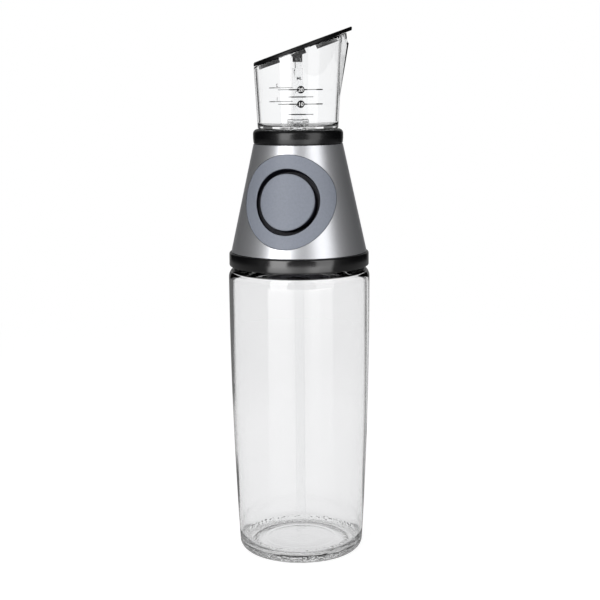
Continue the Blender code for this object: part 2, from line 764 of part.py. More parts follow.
def top_collar(finish):
    """Black ring on the cone: a socket for the cup above and a hub on the pump's column below."""
    skirt = cone_radius(cone_top) - SHELL_WALL / math.cos(cone_tilt) - TOP_COLLAR_SKIRT_PLAY
    skirt_bottom = top_collar_bottom - TOP_COLLAR_SKIRT
    web_bottom = web_top - WEB_THICKNESS
    hub = COLUMN_RADIUS + CLEARANCE
    hub_bottom = column_top - HUB_DEPTH
    seal_bottom = web_top + CUP_SEAL_ABOVE_WEB
    seal_top = seal_bottom + CUP_SEAL_HEIGHT + 2 * CLEARANCE
    seal_depth = socket_bore + CUP_SEAL_WIDTH + CLEARANCE
    outline = rounded([
        (top_collar_foot, top_collar_bottom, 0),
        (top_collar_radius, top_collar_bottom + TOP_COLLAR_HEIGHT / 2, 0),
        (top_collar_radius, top_collar_top, TOP_COLLAR_ROUNDING),
        (socket_bore, top_collar_top, 0),
        (socket_bore, seal_top, 0),
        (seal_depth, seal_top, 0),
        (seal_depth, seal_bottom, 0),
        (socket_bore, seal_bottom, 0),
        (socket_bore, web_top, 0),
        (seal_bore, web_top, 0),
        (seal_bore - RISER_SEAL_WIDTH, column_top + CLEARANCE, 0),
        (hub, column_top + CLEARANCE, 0),
        (hub, hub_bottom, 0),
        (hub + HUB_WALL, hub_bottom, 0),
        (hub + HUB_WALL, web_bottom, 0),
        (skirt - TOP_COLLAR_SKIRT_WALL, web_bottom, 0),
        (skirt - TOP_COLLAR_SKIRT_WALL, skirt_bottom, 0),
        (skirt, skirt_bottom, 0),
        (skirt, top_collar_bottom, 0),
    ])
    add("top_collar", lathe(outline), finish)


def cup_seal(finish):
    """Flat ring in the socket's groove, against the cup's spigot."""
    bottom = web_top + CUP_SEAL_ABOVE_WEB + CLEARANCE
    top = bottom + CUP_SEAL_HEIGHT
    outer = socket_bore + CUP_SEAL_WIDTH
    outline = [(socket_bore, bottom), (outer, bottom), (outer, top), (socket_bore, top)]
    add("cup_seal", lathe(outline), finish)


def riser_seal(finish):
    """Ring round the riser's foot in the column's mouth."""
    bottom = seal_floor + CLEARANCE
    top = bottom + RISER_SEAL_HEIGHT
    inner = RISER_RADIUS + CLEARANCE
    outer = inner + RISER_SEAL_WIDTH
    outline = [(inner, bottom), (outer, bottom), (outer, top), (inner, top)]
    add("riser_seal", lathe(outline, SMALL_ROUND), finish)


def riser_tube(finish):
    """Clear tube fixed in the cup's boss, with its foot in the pump's socket."""
    flange_top = floor_bottom - CLEARANCE
    flange_bottom = flange_top - RISER_FLANGE_THICKNESS
    neck_top = riser_shoulder + RISER_NECK_LENGTH
    outline = [
        (RISER_BORE, riser_bottom),
        (RISER_RADIUS, riser_bottom),
        (RISER_RADIUS, flange_bottom),
        (RISER_FLANGE, flange_bottom),
        (RISER_FLANGE, flange_top),
        (RISER_RADIUS, flange_top),
        (RISER_RADIUS, riser_shoulder),
        (RISER_NECK_RADIUS, riser_shoulder),
        (RISER_NECK_RADIUS, neck_top),
        (RISER_NECK_BORE, neck_top),
        (RISER_NECK_BORE, riser_shoulder),
        (RISER_BORE, riser_shoulder - RISER_BORE),
    ]
    add("riser_tube", lathe(outline, SMALL_ROUND), finish)


def riser_nozzle(finish):
    """Black cap on the riser's neck, cut through by two crossing slots."""
    bore = RISER_NECK_RADIUS + CLEARANCE
    slot_top = nozzle_top - NOZZLE_TOP_WALL
    outline = rounded([
        (0, slot_top, 0),
        (bore, slot_top, 0),
        (bore, nozzle_bottom, 0),
        (NOZZLE_RADIUS, nozzle_bottom, 0),
        (NOZZLE_RADIUS, nozzle_top, NOZZLE_TOP_WALL / 2),
        (0, nozzle_top, 0),
    ])
    nozzle = add("riser_nozzle", lathe(outline, SMALL_ROUND), finish)
    for index in range(2):
        bm = bmesh.new()
        bmesh.ops.create_cube(bm, size=1)
        reach = 2 * NOZZLE_RADIUS + OVERRUN
        bmesh.ops.scale(bm, verts=bm.verts, vec=(reach, NOZZLE_SLOT_WIDTH, NOZZLE_SLOT_HEIGHT))
        lift = slot_top - NOZZLE_SLOT_HEIGHT / 2
        bmesh.ops.translate(bm, verts=bm.verts, vec=(0, 0, lift))
        apply_tool(nozzle, "DIFFERENCE", f"nozzle_slot_{index}", bm, turn=index * math.pi / 2)


def rim_height(across):
    """Height of the lid's underside at a distance from the axis towards the spout."""
    return rim_over_axis + across * math.tan(RIM_SLOPE)


def cup_radius(angle, height):
    """Outer radius of the cup: a drafted circle with a narrow pointed spout towards local +X."""
    circle = cup_foot_radius + CUP_DRAFT_SHARE * (height - cup_bottom)
    tip = circle + max(0, SPOUT_LEAN_SHARE * (height - cup_bottom - SPOUT_START_HEIGHT))
    flank = min(math.acos(circle / tip), SPOUT_HALF_ANGLE)
    turn = abs(angle)
    if turn >= flank:
        return circle
    return math.sin(flank) / (math.sin(flank - turn) / tip + math.sin(turn) / circle)


def inner_share(height):
    """Size of the cup's inside as a share of its outside."""
    return 1 - CUP_WALL / (cup_foot_radius + CUP_DRAFT_SHARE * (height - cup_bottom))


def rim_point(angle, beak=0.0):
    """Radius and height where the cup's outside meets the lid's underside."""
    radius = cup_foot_radius
    for _ in range(ROUND):
        radius = cup_radius(angle, rim_height(radius * math.cos(angle)))
    radius += beak * math.exp(-((radius * angle / NOTCH_HALF_WIDTH) ** 2))
    return radius, rim_height(radius * math.cos(angle))


def cup_angles():
    """Angles round the cup from -180 to 180 degrees, closer together at the spout."""
    half = CUP_COLUMNS // 2
    shares = [index / half for index in range(1 - half, half + 1)]
    return [math.copysign(math.pi * abs(share) ** COLUMN_CROWDING, share) for share in shares]


def measuring_cup(finish):
    """Clear cup with a spigot below, a boss for the riser and a spout cut open at its nose."""
    spigot = socket_bore - CLEARANCE
    spigot_bottom = cup_bottom - CUP_SPIGOT_DEPTH
    hole = RISER_RADIUS + CLEARANCE
    boss_top = floor_top + BOSS_HEIGHT
    wall_start = cup_bottom + CUP_FOOT_ROUNDING
    inner_start = floor_top + CUP_FLOOR_ROUNDING
    inner_floor = cup_foot_radius - CUP_WALL
    foot = [
        (hole, boss_top),
        (hole, floor_bottom),
        (spigot - CUP_SPIGOT_WALL, floor_bottom),
        (spigot - CUP_SPIGOT_WALL, spigot_bottom),
        (spigot, spigot_bottom),
        (spigot, cup_bottom),
        (cup_foot_radius - CUP_FOOT_ROUNDING * EDGE_SHARE, cup_bottom + CUP_FOOT_ROUNDING * EDGE_SHARE),
    ]
    floor = [
        (inner_floor - CUP_FLOOR_ROUNDING * EDGE_SHARE, floor_top + CUP_FLOOR_ROUNDING * EDGE_SHARE),
        (inner_floor - CUP_FLOOR_ROUNDING, floor_top),
        (BOSS_RADIUS, floor_top),
        (BOSS_RADIUS, boss_top),
    ]
    columns = []
    for angle in cup_angles():
        radius, rim = rim_point(angle)
        notch = max(0, 1 - (radius * angle / NOTCH_HALF_WIDTH) ** 2) * NOTCH_DEPTH
        outer_top = rim - CLEARANCE - notch
        inner_across = radius * inner_share(rim) * math.cos(angle)
        inner_top = rim_height(inner_across) - CLEARANCE - notch
        column = list(foot)
        shares = [row / CUP_WALL_ROWS for row in range(CUP_WALL_ROWS + 1)]
        for share in shares:
            height = wall_start + (outer_top - wall_start) * share
            column.append((cup_radius(angle, height), height))
        for share in reversed(shares):
            height = inner_start + (inner_top - inner_start) * share
            column.append((cup_radius(angle, height) * inner_share(height), height))
        column += floor
        columns.append([(r * math.cos(angle), r * math.sin(angle), z) for r, z in column])
    add("measuring_cup", skin(list(zip(*columns)), closed=True), finish, turn=CUP_TURN)


def cup_lid(finish):
    """Slanted plate with a beak over the spout and a skirt of tabs inside the cup."""
    rise = LID_THICKNESS / math.cos(RIM_SLOPE)
    soften = LID_ROUNDING / math.cos(RIM_SLOPE)
    rings = [[(0, 0, rim_height(0))]]
    for inset, lift in (
        (LID_ROUNDING, 0),
        (0, soften),
        (0, rise - soften),
        (LID_ROUNDING, rise),
    ):
        ring = []
        for angle in cup_angles():
            radius, height = rim_point(angle, LID_BEAK)
            radius -= inset
            x = radius * math.cos(angle)
            ring.append((x, radius * math.sin(angle), rim_height(x) + lift))
        rings.append(ring)
    rings.append([(0, 0, rim_height(0) + rise)])
    lid = add("cup_lid", skin(rings), finish, turn=CUP_TURN)
    normal = Vector((-math.sin(RIM_SLOPE), 0, math.cos(RIM_SLOPE)))
    skirt_radius = cup_foot_radius - LID_SKIRT_INSET
    for number, (start, end) in enumerate(SKIRT_SPANS):
        steps = math.ceil((end - start) / SKIRT_STEP)
        sections = []
        for step in range(steps + 1):
            angle = math.radians(start + (end - start) * step / steps)
            section = []
            for radius, lift in (
                (skirt_radius - LID_SKIRT_WALL, -LID_SKIRT_DEPTH),
                (skirt_radius, -LID_SKIRT_DEPTH),
                (skirt_radius, LID_THICKNESS / 2),
                (skirt_radius - LID_SKIRT_WALL, LID_THICKNESS / 2),
            ):
                x = radius * math.cos(angle)
                on_plate = Vector((x, radius * math.sin(angle), rim_height(x)))
                section.append(on_plate + normal * lift)
            sections.append(section)
        apply_tool(lid, "UNION", f"skirt_tab_{number}", skin(sections), turn=CUP_TURN)


def build():
    """Make every piece of the bottle."""
    clear_scene()
    glass = material("clear_glass", (0.95, 0.97, 0.97), 0.02, transmission=1.0)
    clear = material("clear_plastic", (0.96, 0.97, 0.98), 0.06, transmission=1.0)
    black = material("black_plastic", (0.012, 0.012, 0.014), 0.28)
    steel = material("satin_steel", (0.62, 0.63, 0.66), 0.32, metallic=1.0)
    grey = material("grey_rubber", (0.30, 0.33, 0.39), 0.55)
    dark = material("dark_rubber", (0.03, 0.03, 0.035), 0.6)
    bright = material("bright_steel", (0.7, 0.7, 0.72), 0.12, metallic=1.0)
    white = material("white_plastic", (0.8, 0.8, 0.8), 0.4)

    button_axis = bpy.data.objects.new("button_axis", None)
    bpy.context.scene.collection.objects.link(button_axis)
    button_axis.matrix_world = button_frame

    glass_bottle(glass)
    neck_gasket(dark)
    base_collar(black)
    cone_shell(steel, button_axis)
    button_surround(grey, button_axis)
    push_button(grey, button_axis)
    button_plunger(black, button_axis)
    pump_bellows(dark, button_axis)
    pump_body(black, button_axis)
    valve_ball("inlet_ball", inlet_seat, bright)
    valve_ball("outlet_ball", outlet_seat, bright)
    valve_retainer("inlet_retainer", inlet_retainer_bottom, INLET_BORE, white)
    valve_retainer("outlet_retainer", outlet_retainer_bottom, OUTLET_BORE, white)
    inlet_fitting(white)
    dip_tube(clear)
    top_collar(black)
    cup_seal(dark)
    riser_seal(dark)
    riser_tube(clear)
    riser_nozzle(black)
    measuring_cup(clear)
    cup_lid(black)


build()
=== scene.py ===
import math

import bmesh
import bpy
from mathutils import Matrix, Vector


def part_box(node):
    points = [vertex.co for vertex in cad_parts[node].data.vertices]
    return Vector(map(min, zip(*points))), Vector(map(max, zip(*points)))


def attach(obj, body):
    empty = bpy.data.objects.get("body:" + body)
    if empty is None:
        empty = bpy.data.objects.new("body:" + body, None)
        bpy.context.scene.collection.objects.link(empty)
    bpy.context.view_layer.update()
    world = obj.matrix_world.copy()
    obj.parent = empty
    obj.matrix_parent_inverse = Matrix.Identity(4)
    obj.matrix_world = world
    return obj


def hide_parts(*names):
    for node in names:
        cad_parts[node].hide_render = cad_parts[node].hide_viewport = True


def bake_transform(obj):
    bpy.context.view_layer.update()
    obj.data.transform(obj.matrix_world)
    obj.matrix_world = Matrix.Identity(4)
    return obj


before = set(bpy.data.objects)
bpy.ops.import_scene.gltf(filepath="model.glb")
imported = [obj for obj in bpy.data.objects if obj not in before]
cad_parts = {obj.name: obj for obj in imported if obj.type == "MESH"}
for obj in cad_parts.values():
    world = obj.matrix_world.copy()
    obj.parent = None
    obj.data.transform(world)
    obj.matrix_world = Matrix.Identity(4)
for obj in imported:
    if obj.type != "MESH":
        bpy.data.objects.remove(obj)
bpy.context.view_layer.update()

# Bottle, in metres
BODY_RADIUS = 0.0392
BODY_HEIGHT = 0.1630
BODY_TAPER = 0.0042
BODY_ROWS = 28
HEEL_ROUNDING = 0.0052
SHOULDER_ROUNDING = 0.0060
STANDING_RING = 0.0028
STIPPLE_TOP = 0.0062
BEARING_RIBS = 124
BEARING_RIB_DEPTH = 0.0007
BEARING_RIB_ROWS = 15
RIB_STEPS = 3
GLASS_INNER_RADIUS = 0.0370
GLASS_THIN_WALL = 0.0012
GLASS_WALL_BLEND = 0.0004
GLASS_CEILING = 0.1598
GLASS_CEILING_CORNER = 0.0004
GLASS_FLOOR = 0.0046
GLASS_FLOOR_EDGE = 0.0298
GLASS_HEEL_TOP = 0.0112
GLASS_ROWS = 40
NECK_RADIUS = 0.0286
NECK_BORE = 0.0260
NECK_HEIGHT = 0.0115
NECK_FILLET = 0.0006
NECK_ROWS = 40
LIP_ROUNDING = 0.0008
THREAD_START = 0.0025
THREAD_DEPTH = 0.0013
THREAD_PITCH = 0.0040
THREAD_TURNS = 1.5
THREAD_HALF_WIDTH = 0.0012
THREAD_FLANK = 0.0007
THREAD_RUN_OUT = 12

# Under the glass from its middle outwards: radius and height
UNDERSIDE = (
    (0, 0.0019), (0.006, 0.00188), (0.012, 0.00182), (0.0185, 0.0017),
    (0.0193, 0.00163), (0.0199, 0.00156), (0.0205, 0.00163), (0.0214, 0.0016),
)
# On to the ring that the bottle stands on: radius from the ring's inside, and height
STANDING_RISE = (
    (-0.0026, 0.0015), (-0.0016, 0.0013), (-0.0006, 0.0006),
    (0, 0.00008), (0.0006, 0.0), (0.0016, 0.0),
)
# The glass floor from its edge to its middle: radius and height over GLASS_FLOOR
FLOOR_RINGS = (
    (0.0295, 0.00015), (0.0292, 0.00023), (0.0288, 0.00050), (0.0282, 0.00056),
    (0.0246, 0.00060), (0.0206, 0.00062), (0.0198, 0.00058), (0.0190, 0.00068),
    (0.0120, 0.00070), (0.0060, 0.00080), (0, 0.00090),
)

# Head
FIT = 0.0003
COLLAR_RADIUS = 0.0388
COLLAR_HEIGHT = 0.0077
COLLAR_UPSTAND = 0.0030
COLLAR_THREAD_ROOM = 0.0018
COLLAR_SLEEVE = 0.0024
COLLAR_PLATE = 0.0018
COLLAR_BORE = 0.0210
GASKET_ROOM = 0.0021
CONE_TAPER = 0.22
CONE_FOOT_RADIUS = 0.03755
CONE_ROWS = 40
SHELL_WALL = 0.0007
BUTTON_RISE = 0.0296
BUTTON_RADIUS = 0.0149
BUTTON_WALL = 0.0016
BUTTON_ROUNDING = 0.0006
GROOVE_RADIUS = 0.0175
GROOVE_DEPTH = 0.0090
GUIDE_RADIUS = 0.0190
SURROUND_RADIUS = 0.0249
SURROUND_PROUD = 0.0002
SURROUND_DEPTH = 0.0022
SURROUND_ROUNDING = 0.0004
WINDOW_PLAY = 0.00015
SHADE_DEPTH = 0.0008
TOP_COLLAR_RADIUS = 0.02477
SOCKET_BORE = 0.02067
SOCKET_DEPTH = 0.0078
SEAL_GROOVE_DEPTH = 0.0011
SEAL_GROOVE_HEIGHT = 0.0014
BELLOWS_FRONT = -0.0121
BELLOWS_RADIUS = 0.0113
BELLOWS_WALL = 0.0010
BELLOWS_FACE = 0.0012
BELLOWS_FOLD = 0.0022
BELLOWS_FOLDS = 3
BELLOWS_FOLD_STEPS = 16

# Cup, riser and lid
CUP_TURN = math.radians(16.6)
CUP_FOOT_RADIUS = 0.02207
CUP_DRAFT = 0.055
CUP_WALL = 0.0015
CUP_FLOOR = 0.0012
CUP_FOOT_ROUNDING = 0.0006
CUP_FLOOR_ROUNDING = 0.0007
CUP_EDGE_ROUNDING = 0.0003
CUP_ROWS = 26
CUP_COLUMNS = 168
SPIGOT_DEPTH = 0.0067
SPIGOT_WALL = 0.0020
RISER_HOLE = 0.0031
BOSS_HEIGHT = 0.0035
BOSS_RADIUS = 0.0060
RIM_BACK_HEIGHT = 0.0340
RIM_SLOPE = math.radians(19.7)
SPOUT_START = 0.0162
SPOUT_LEAN = 0.117
SPOUT_HALF_ANGLE = math.radians(18)
NOTCH_DEPTH = 0.0062
NOTCH_HALF_WIDTH = 0.0036
LID_THICKNESS = 0.0020
LID_ROUNDING = 0.0007
LID_BEAK = 0.0006
SKIRT_RADIUS = 0.0216
SKIRT_WALL = 0.0011
SKIRT_DEPTH = 0.0026
SKIRT_SPANS = ((84, 98), (123, 237), (262, 276), (293, 345), (15, 67))
RISER_RADIUS = 0.0028
RISER_BORE = 0.0018
RISER_FLANGE = 0.0042
RISER_NECK = 0.0019
RISER_NECK_BORE = 0.0012
TUBE_RADIUS = 0.0030
TUBE_BORE = 0.0024
TUBE_SLANT = 0.6
NOZZLE_RADIUS = 0.0026
NOZZLE_BORE = 0.0022
NOZZLE_CAP = 0.0008
NOZZLE_RING = 0.0006
RIB_COUNT = 6
RIB_CIRCLE = 0.0023
RIB_WIDTH = 0.0013
RIB_DEPTH = 0.0006

# The cup's scale: levels over the ground, and lines by their ends and thickness
THIN_LINE = 0.00032
THICK_LINE = 0.0006
FRONT_FIGURES = ((0.2598, "20"), (0.2522, "10"))
FRONT_FIGURE_SIZE = 0.0028
FRONT_DISC = 0.0020
UNIT_SIZE = 0.0022
UNIT_ACROSS = -0.0008
UNIT_LEVEL = 0.2657
FRONT_LINES = (
    (-0.0124, -0.0015, THIN_LINE), (0.0015, 0.0124, THIN_LINE), (-0.0062, -0.0015, THICK_LINE),
    (0.0015, 0.0034, THICK_LINE), (0.0086, 0.0124, THICK_LINE),
)
HALF_LEVELS = (0.2560, 0.2468)
HALF_LINES = ((-0.0066, 0.0068, THIN_LINE), (-0.0050, 0.0026, THICK_LINE))
BACK_FIGURES = ((0.2604, "2"), (0.2528, "1"))
BACK_FIGURE_SIZE = 0.0026
BACK_FIGURE_ACROSS = 0.0112
BACK_FIGURE_LIFT = 0.0014
BACK_LINES = ((-0.0020, 0.0172, 0.00036), (0.0130, 0.0172, 0.0005))
INK_LIFT = 0.00005
INK_THICKNESS = 0.00004

# Where the photograph was taken from
CAMERA_TURN = math.radians(12.6)
CAMERA_DISTANCE = 0.729
CAMERA_HEIGHT = 0.2684
CAMERA_DIP = math.radians(9.757)
CAMERA_ROLL = math.radians(0.45)
CAMERA_AIM = math.radians(0.026)
CAMERA_LENS = 79.14

# Studio: turns in degrees from the camera's direction, distances from the bottle's axis
SOFTBOX_DISTANCE = 1.0
SOFTBOX_HEIGHT = 0.52
SOFTBOX_TALL = 1.1
SOFTBOX_AIM = 0.17
FLAG_START = 68
FLAG_SPAN = 82
FLAG_FADE = 30
FLAG_DISTANCE = 1.2
FLAG_TALL = 1.8
GLOW_REACHES = (0.06, 0.2, 0.4, 0.8, 1.25)
GLOW_PROFILE = (
    (-53, 0), (-49, 1), (-18, 1), (-8, 0.6), (8, 0.5),
    (20, 1), (30, 1), (36, 0.75), (52, 0.7), (56, 0),
)
SHADE_RINGS_LEFT = (
    (0.05, 0.1), (0.15, 0.15), (0.2, 0.85), (0.36, 0.7), (0.44, 0.14), (1.1, 0.11),
)
SHADE_RINGS_RIGHT = ((0.05, 0.25), (0.2, 0.5), (0.34, 0.25), (1.1, 0.25))
CUP_SHADE_START = 26
CUP_SHADE_STEP = 2.5
CUP_SHADE_DISTANCE = 1.25
CUP_SHADE_TONE = 0.12
# Light that has stayed inside a clear wall leaves it with fewer passes than this
WALL_PASSES = 2.5

# Levels read off the frame, and what follows from them
cone_low, cone_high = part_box("cone_shell")
top_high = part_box("top_collar")[1]
riser_low, riser_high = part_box("riser_tube")
nozzle_low, nozzle_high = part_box("riser_nozzle")
tube_low, tube_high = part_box("dip_tube")
collar_foot = BODY_HEIGHT + FIT
collar_top = collar_foot + COLLAR_HEIGHT
cone_foot = cone_low.z
cone_top = cone_high.z
cone_tilt = math.atan(CONE_TAPER)
shell_across = SHELL_WALL / math.cos(cone_tilt)
cup_foot = top_high.z + FIT
centre_height = cone_foot + BUTTON_RISE
centre_radius = CONE_FOOT_RADIUS - (centre_height - cone_foot) * CONE_TAPER
button_frame = Matrix.Translation((0, -centre_radius, centre_height)) @ Matrix.Rotation(
    math.pi / 2 - cone_tilt, 4, "X"
)


# Mesh helpers

def skin(rings, closed=False):
    """A closed body through rings of points; a ring of one point is a pole."""
    bm = bmesh.new()
    rows = [[bm.verts.new(point) for point in ring] for ring in rings]
    pairs = list(zip(rows, rows[1:]))
    if closed:
        pairs.append((rows[-1], rows[0]))
    else:
        for end in (rows[0], rows[-1]):
            if len(end) > 1:
                bm.faces.new(end)
    for lower, upper in pairs:
        count = max(len(lower), len(upper))
        for index in range(count):
            after = (index + 1) % count
            corners = [
                lower[index % len(lower)],
                lower[after % len(lower)],
                upper[after % len(upper)],
                upper[index % len(upper)],
            ]
            bm.faces.new(list(dict.fromkeys(corners)))
    bmesh.ops.recalc_face_normals(bm, faces=bm.faces)
    return bm


def lathe(outline, segments=144, shaped=None):
    """A body turned about Z from (radius, height) points, which shaped may move as they turn."""
    rings = []
    for index, (radius, height) in enumerate(outline):
        count = segments if radius else 1
        ring = []
        for step in range(count):
            angle = 2 * math.pi * step / count
            reach, level = shaped(index, step, angle) if shaped else (radius, height)
            ring.append((reach * math.cos(angle), reach * math.sin(angle), level))
        rings.append(ring)
    return skin(rings, closed=all(radius for radius, _ in outline))


def rounded(corners, steps=7):
    """The closed outline through (x, y, radius) corners."""
    points = []
    for index, (x, y, radius) in enumerate(corners):
        here = Vector((x, y))
        if not radius:
            points.append(here)
            continue
        before = (Vector(corners[index - 1][:2]) - here).normalized()
        after = (Vector(corners[(index + 1) % len(corners)][:2]) - here).normalized()
        half = before.angle(after) / 2
        middle = here + (before + after).normalized() * (radius / math.sin(half))
        start = (here + before * (radius / math.tan(half)) - middle).normalized()
        end = (here + after * (radius / math.tan(half)) - middle).normalized()
        for step in range(steps + 1):
            points.append(middle + start.slerp(end, step / steps) * radius)
    return points


def arc(centre, radius, start, end, steps):
    """Points of an arc of a circle, angles in degrees."""
    turns = [math.radians(start + (end - start) * step / steps) for step in range(steps + 1)]
    return [(centre[0] + radius * math.cos(a), centre[1] + radius * math.sin(a)) for a in turns]


def quarter(steps):
    """Shares of a rounding's radius, first along and then up, round a quarter of a circle."""
    turns = [math.pi / 2 * step / steps for step in range(steps + 1)]
    return [(1 - math.cos(turn), 1 - math.sin(turn)) for turn in turns]


def plain_mesh(name, bm):
    """The bmesh as a mesh of its own."""
    mesh = bpy.data.meshes.new(name)
    bm.to_mesh(mesh)
    bm.free()
    return mesh


def join(target, extra):
    """Add one bmesh to another."""
    holder = plain_mesh("part", extra)
    target.from_mesh(holder)
    bpy.data.meshes.remove(holder)


def evaluated(obj):
    """The object's mesh with its modifiers or its lettering worked out."""
    graph = bpy.context.evaluated_depsgraph_get()
    return bpy.data.meshes.new_from_object(obj.evaluated_get(graph))


def place(bm, matrix):
    """Move every point of the mesh by the matrix."""
    bmesh.ops.transform(bm, matrix=matrix, verts=bm.verts)
    return bm


def linked(name, data):
    """A new object in the scene."""
    obj = bpy.data.objects.new(name, data)
    bpy.context.scene.collection.objects.link(obj)
    return obj


def piece(name, bm, material, body, nodes=(), sharp=35):
    """Link the mesh as a piece of the object, riding on its body."""
    mesh = plain_mesh(name, bm)
    mesh.shade_smooth()
    mesh.set_sharp_from_angle(angle=math.radians(sharp))
    mesh.materials.append(material)
    obj = linked(name, mesh)
    if body:
        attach(obj, body)
    if nodes:
        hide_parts(*nodes)
    return obj


# Nodes of finishes

def fill(tree, node, inputs):
    """Set a node's inputs, or link those that another node gives."""
    for label, value in inputs.items():
        if isinstance(value, bpy.types.NodeSocket):
            tree.links.new(value, node.inputs[label])
        else:
            node.inputs[label].default_value = value
    return node


def add(tree, kind, inputs, output):
    """One output of a new node."""
    return fill(tree, tree.nodes.new(kind), inputs).outputs[output]


def maths(tree, operation, first, second):
    """One number made of two."""
    node = tree.nodes.new("ShaderNodeMath")
    node.operation = operation
    return fill(tree, node, {0: first, 1: second}).outputs["Value"]


def mixed(tree, kind, factor, first, second):
    """A number or a colour between two others."""
    node = tree.nodes.new("ShaderNodeMix")
    node.data_type = kind
    return fill(tree, node, {"Factor": factor, "A": first, "B": second}).outputs["Result"]


def mapped(tree, source, start, end, low=0.0, high=1.0, interpolation="LINEAR"):
    """A range of one value as a range of another."""
    node = tree.nodes.new("ShaderNodeMapRange")
    node.interpolation_type = interpolation
    return fill(tree, node, {
        "Value": source, "From Min": start, "From Max": end, "To Min": low, "To Max": high,
    }).outputs["Result"]


def attribute(tree, name):
    """A number that the mesh carries."""
    node = tree.nodes.new("ShaderNodeAttribute")
    node.attribute_name = name
    return node.outputs["Fac"]


def own_place(tree):
    """The object's own coordinates."""
    return tree.nodes.new("ShaderNodeTexCoord").outputs["Object"]


def noise(tree, scale, detail=2.0, stretch=None):
    """Noise on the object's own coordinates."""
    source = own_place(tree)
    if stretch:
        source = add(tree, "ShaderNodeMapping", {"Vector": source, "Scale": stretch}, "Vector")
    inputs = {"Vector": source, "Scale": scale, "Detail": detail}
    return add(tree, "ShaderNodeTexNoise", inputs, "Fac")


def spread(tree, source, low, high):
    """Map the middle of a texture's range onto a range of values."""
    return mapped(tree, source, 0.3, 0.7, low, high)


def speckled(tree, source, dark, light):
    """A colour that wanders between two tones."""
    return mixed(tree, "RGBA", spread(tree, source, 0, 1), (*dark, 1), (*light, 1))


# Finishes

def finish(name, color, roughness, metallic=0.0, transmission=0.0, ior=1.5, specular=0.5):
    """A Principled finish and its node tree."""
    made = bpy.data.materials.new(name)
    made.use_nodes = True
    tree = made.node_tree
    shader = fill(tree, tree.nodes["Principled BSDF"], {
        "Base Color": (*color, 1),
        "Roughness": roughness,
        "Metallic": metallic,
        "Transmission Weight": transmission,
        "IOR": ior,
        "Specular IOR Level": specular,
    })
    return made, tree, shader


def tint(tree, shader, source, dark, light):
    """Vary the base colour between two tones."""
    tree.links.new(speckled(tree, source, dark, light), shader.inputs["Base Color"])


def dull(tree, shader, source, low, high):
    """Vary the roughness between two values."""
    tree.links.new(spread(tree, source, low, high), shader.inputs["Roughness"])


def bump(tree, shader, source, strength, distance):
    """Raise the surface by a texture."""
    inputs = {"Height": source, "Strength": strength, "Distance": distance}
    raised = add(tree, "ShaderNodeBump", inputs, "Normal")
    tree.links.new(raised, shader.inputs["Normal"])


def bottle_glass():
    """Clear pressed glass, very slightly wavy."""
    made, tree, shader = finish("bottle_glass", (0.975, 0.98, 0.98), 0.0, transmission=1.0)
    dull(tree, shader, noise(tree, 60), 0.0, 0.012)
    tint(tree, shader, noise(tree, 25), (0.903, 0.904, 0.908), (0.918, 0.919, 0.923))
    bump(tree, shader, noise(tree, 38, stretch=(1, 1, 0.35)), 0.12, 0.0006)
    return made


def stippled_glass():
    """The same glass where the mould has stippled the ring that it stands on."""
    made, tree, shader = finish("stippled_glass", (0.96, 0.965, 0.965), 0.04, transmission=1.0)
    cells = tree.nodes.new("ShaderNodeTexVoronoi")
    cells.feature = "SMOOTH_F1"
    fill(tree, cells, {"Vector": own_place(tree), "Scale": 620, "Randomness": 0.6})
    dull(tree, shader, noise(tree, 300), 0.02, 0.08)
    bump(tree, shader, cells.outputs["Distance"], 1.0, 0.0012)
    return made


def cup_plastic():
    """Clear moulded plastic."""
    made, tree, shader = finish(
        "cup_plastic", (0.97, 0.975, 0.98), 0.02, transmission=1.0, ior=1.47
    )
    dull(tree, shader, noise(tree, 90), 0.0, 0.03)
    tint(tree, shader, noise(tree, 40), (0.972, 0.976, 0.980), (0.988, 0.990, 0.992))
    bump(tree, shader, noise(tree, 70, stretch=(1, 1, 0.4)), 0.1, 0.0003)
    return made


def tube_plastic():
    """Soft, very clear tube."""
    made, tree, shader = finish(
        "tube_plastic", (0.99, 0.99, 0.99), 0.0, transmission=1.0, ior=1.012
    )
    tint(tree, shader, noise(tree, 200), (0.991, 0.992, 0.993), (0.997, 0.998, 0.998))
    bump(tree, shader, noise(tree, 60), 0.05, 0.0001)
    return made


def satin_metal():
    """Bead-blasted stainless sheet."""
    made, tree, shader = finish("satin_metal", (0.62, 0.63, 0.65), 0.36, metallic=0.82)
    tint(tree, shader, noise(tree, 2600, 3), (0.595, 0.603, 0.63), (0.65, 0.657, 0.68))
    dull(tree, shader, noise(tree, 2200, 4, (1, 1, 0.3)), 0.33, 0.39)
    bump(tree, shader, noise(tree, 5200, 2), 0.1, 0.00004)
    return made


def black_moulding(name, gloss, rough):
    """Semi-gloss black plastic."""
    made, tree, shader = finish(name, (0.003, 0.003, 0.0035), rough[0], specular=gloss)
    tint(tree, shader, noise(tree, 1800, 3), (0.0015, 0.0015, 0.0018), (0.0035, 0.0035, 0.004))
    dull(tree, shader, noise(tree, 1500, 3), *rough)
    bump(tree, shader, noise(tree, 2600, 2), 0.06, 0.00004)
    return made


def grey_silicone():
    """Matte blue-grey silicone, dark in the groove where no light reaches."""
    made, tree, shader = finish("grey_silicone", (0.2, 0.22, 0.265), 0.55)
    shade = attribute(tree, "shade")
    face = speckled(tree, noise(tree, 900, 4), (0.207, 0.226, 0.270), (0.230, 0.250, 0.298))
    # Painted shade: below the face's edge the colour falls to near black and the gloss fades, by
    # the shade attribute
    painted_groove_shade = (0.022, 0.022, 0.032, 1)
    tree.links.new(mixed(tree, "RGBA", shade, painted_groove_shade, face), shader.inputs["Base Color"])
    dull(tree, shader, noise(tree, 2000, 3), 0.48, 0.6)
    bump(tree, shader, noise(tree, 4500, 2), 0.15, 0.00006)
    tree.links.new(maths(tree, "MULTIPLY", shade, 0.4), shader.inputs["Specular IOR Level"])
    return made


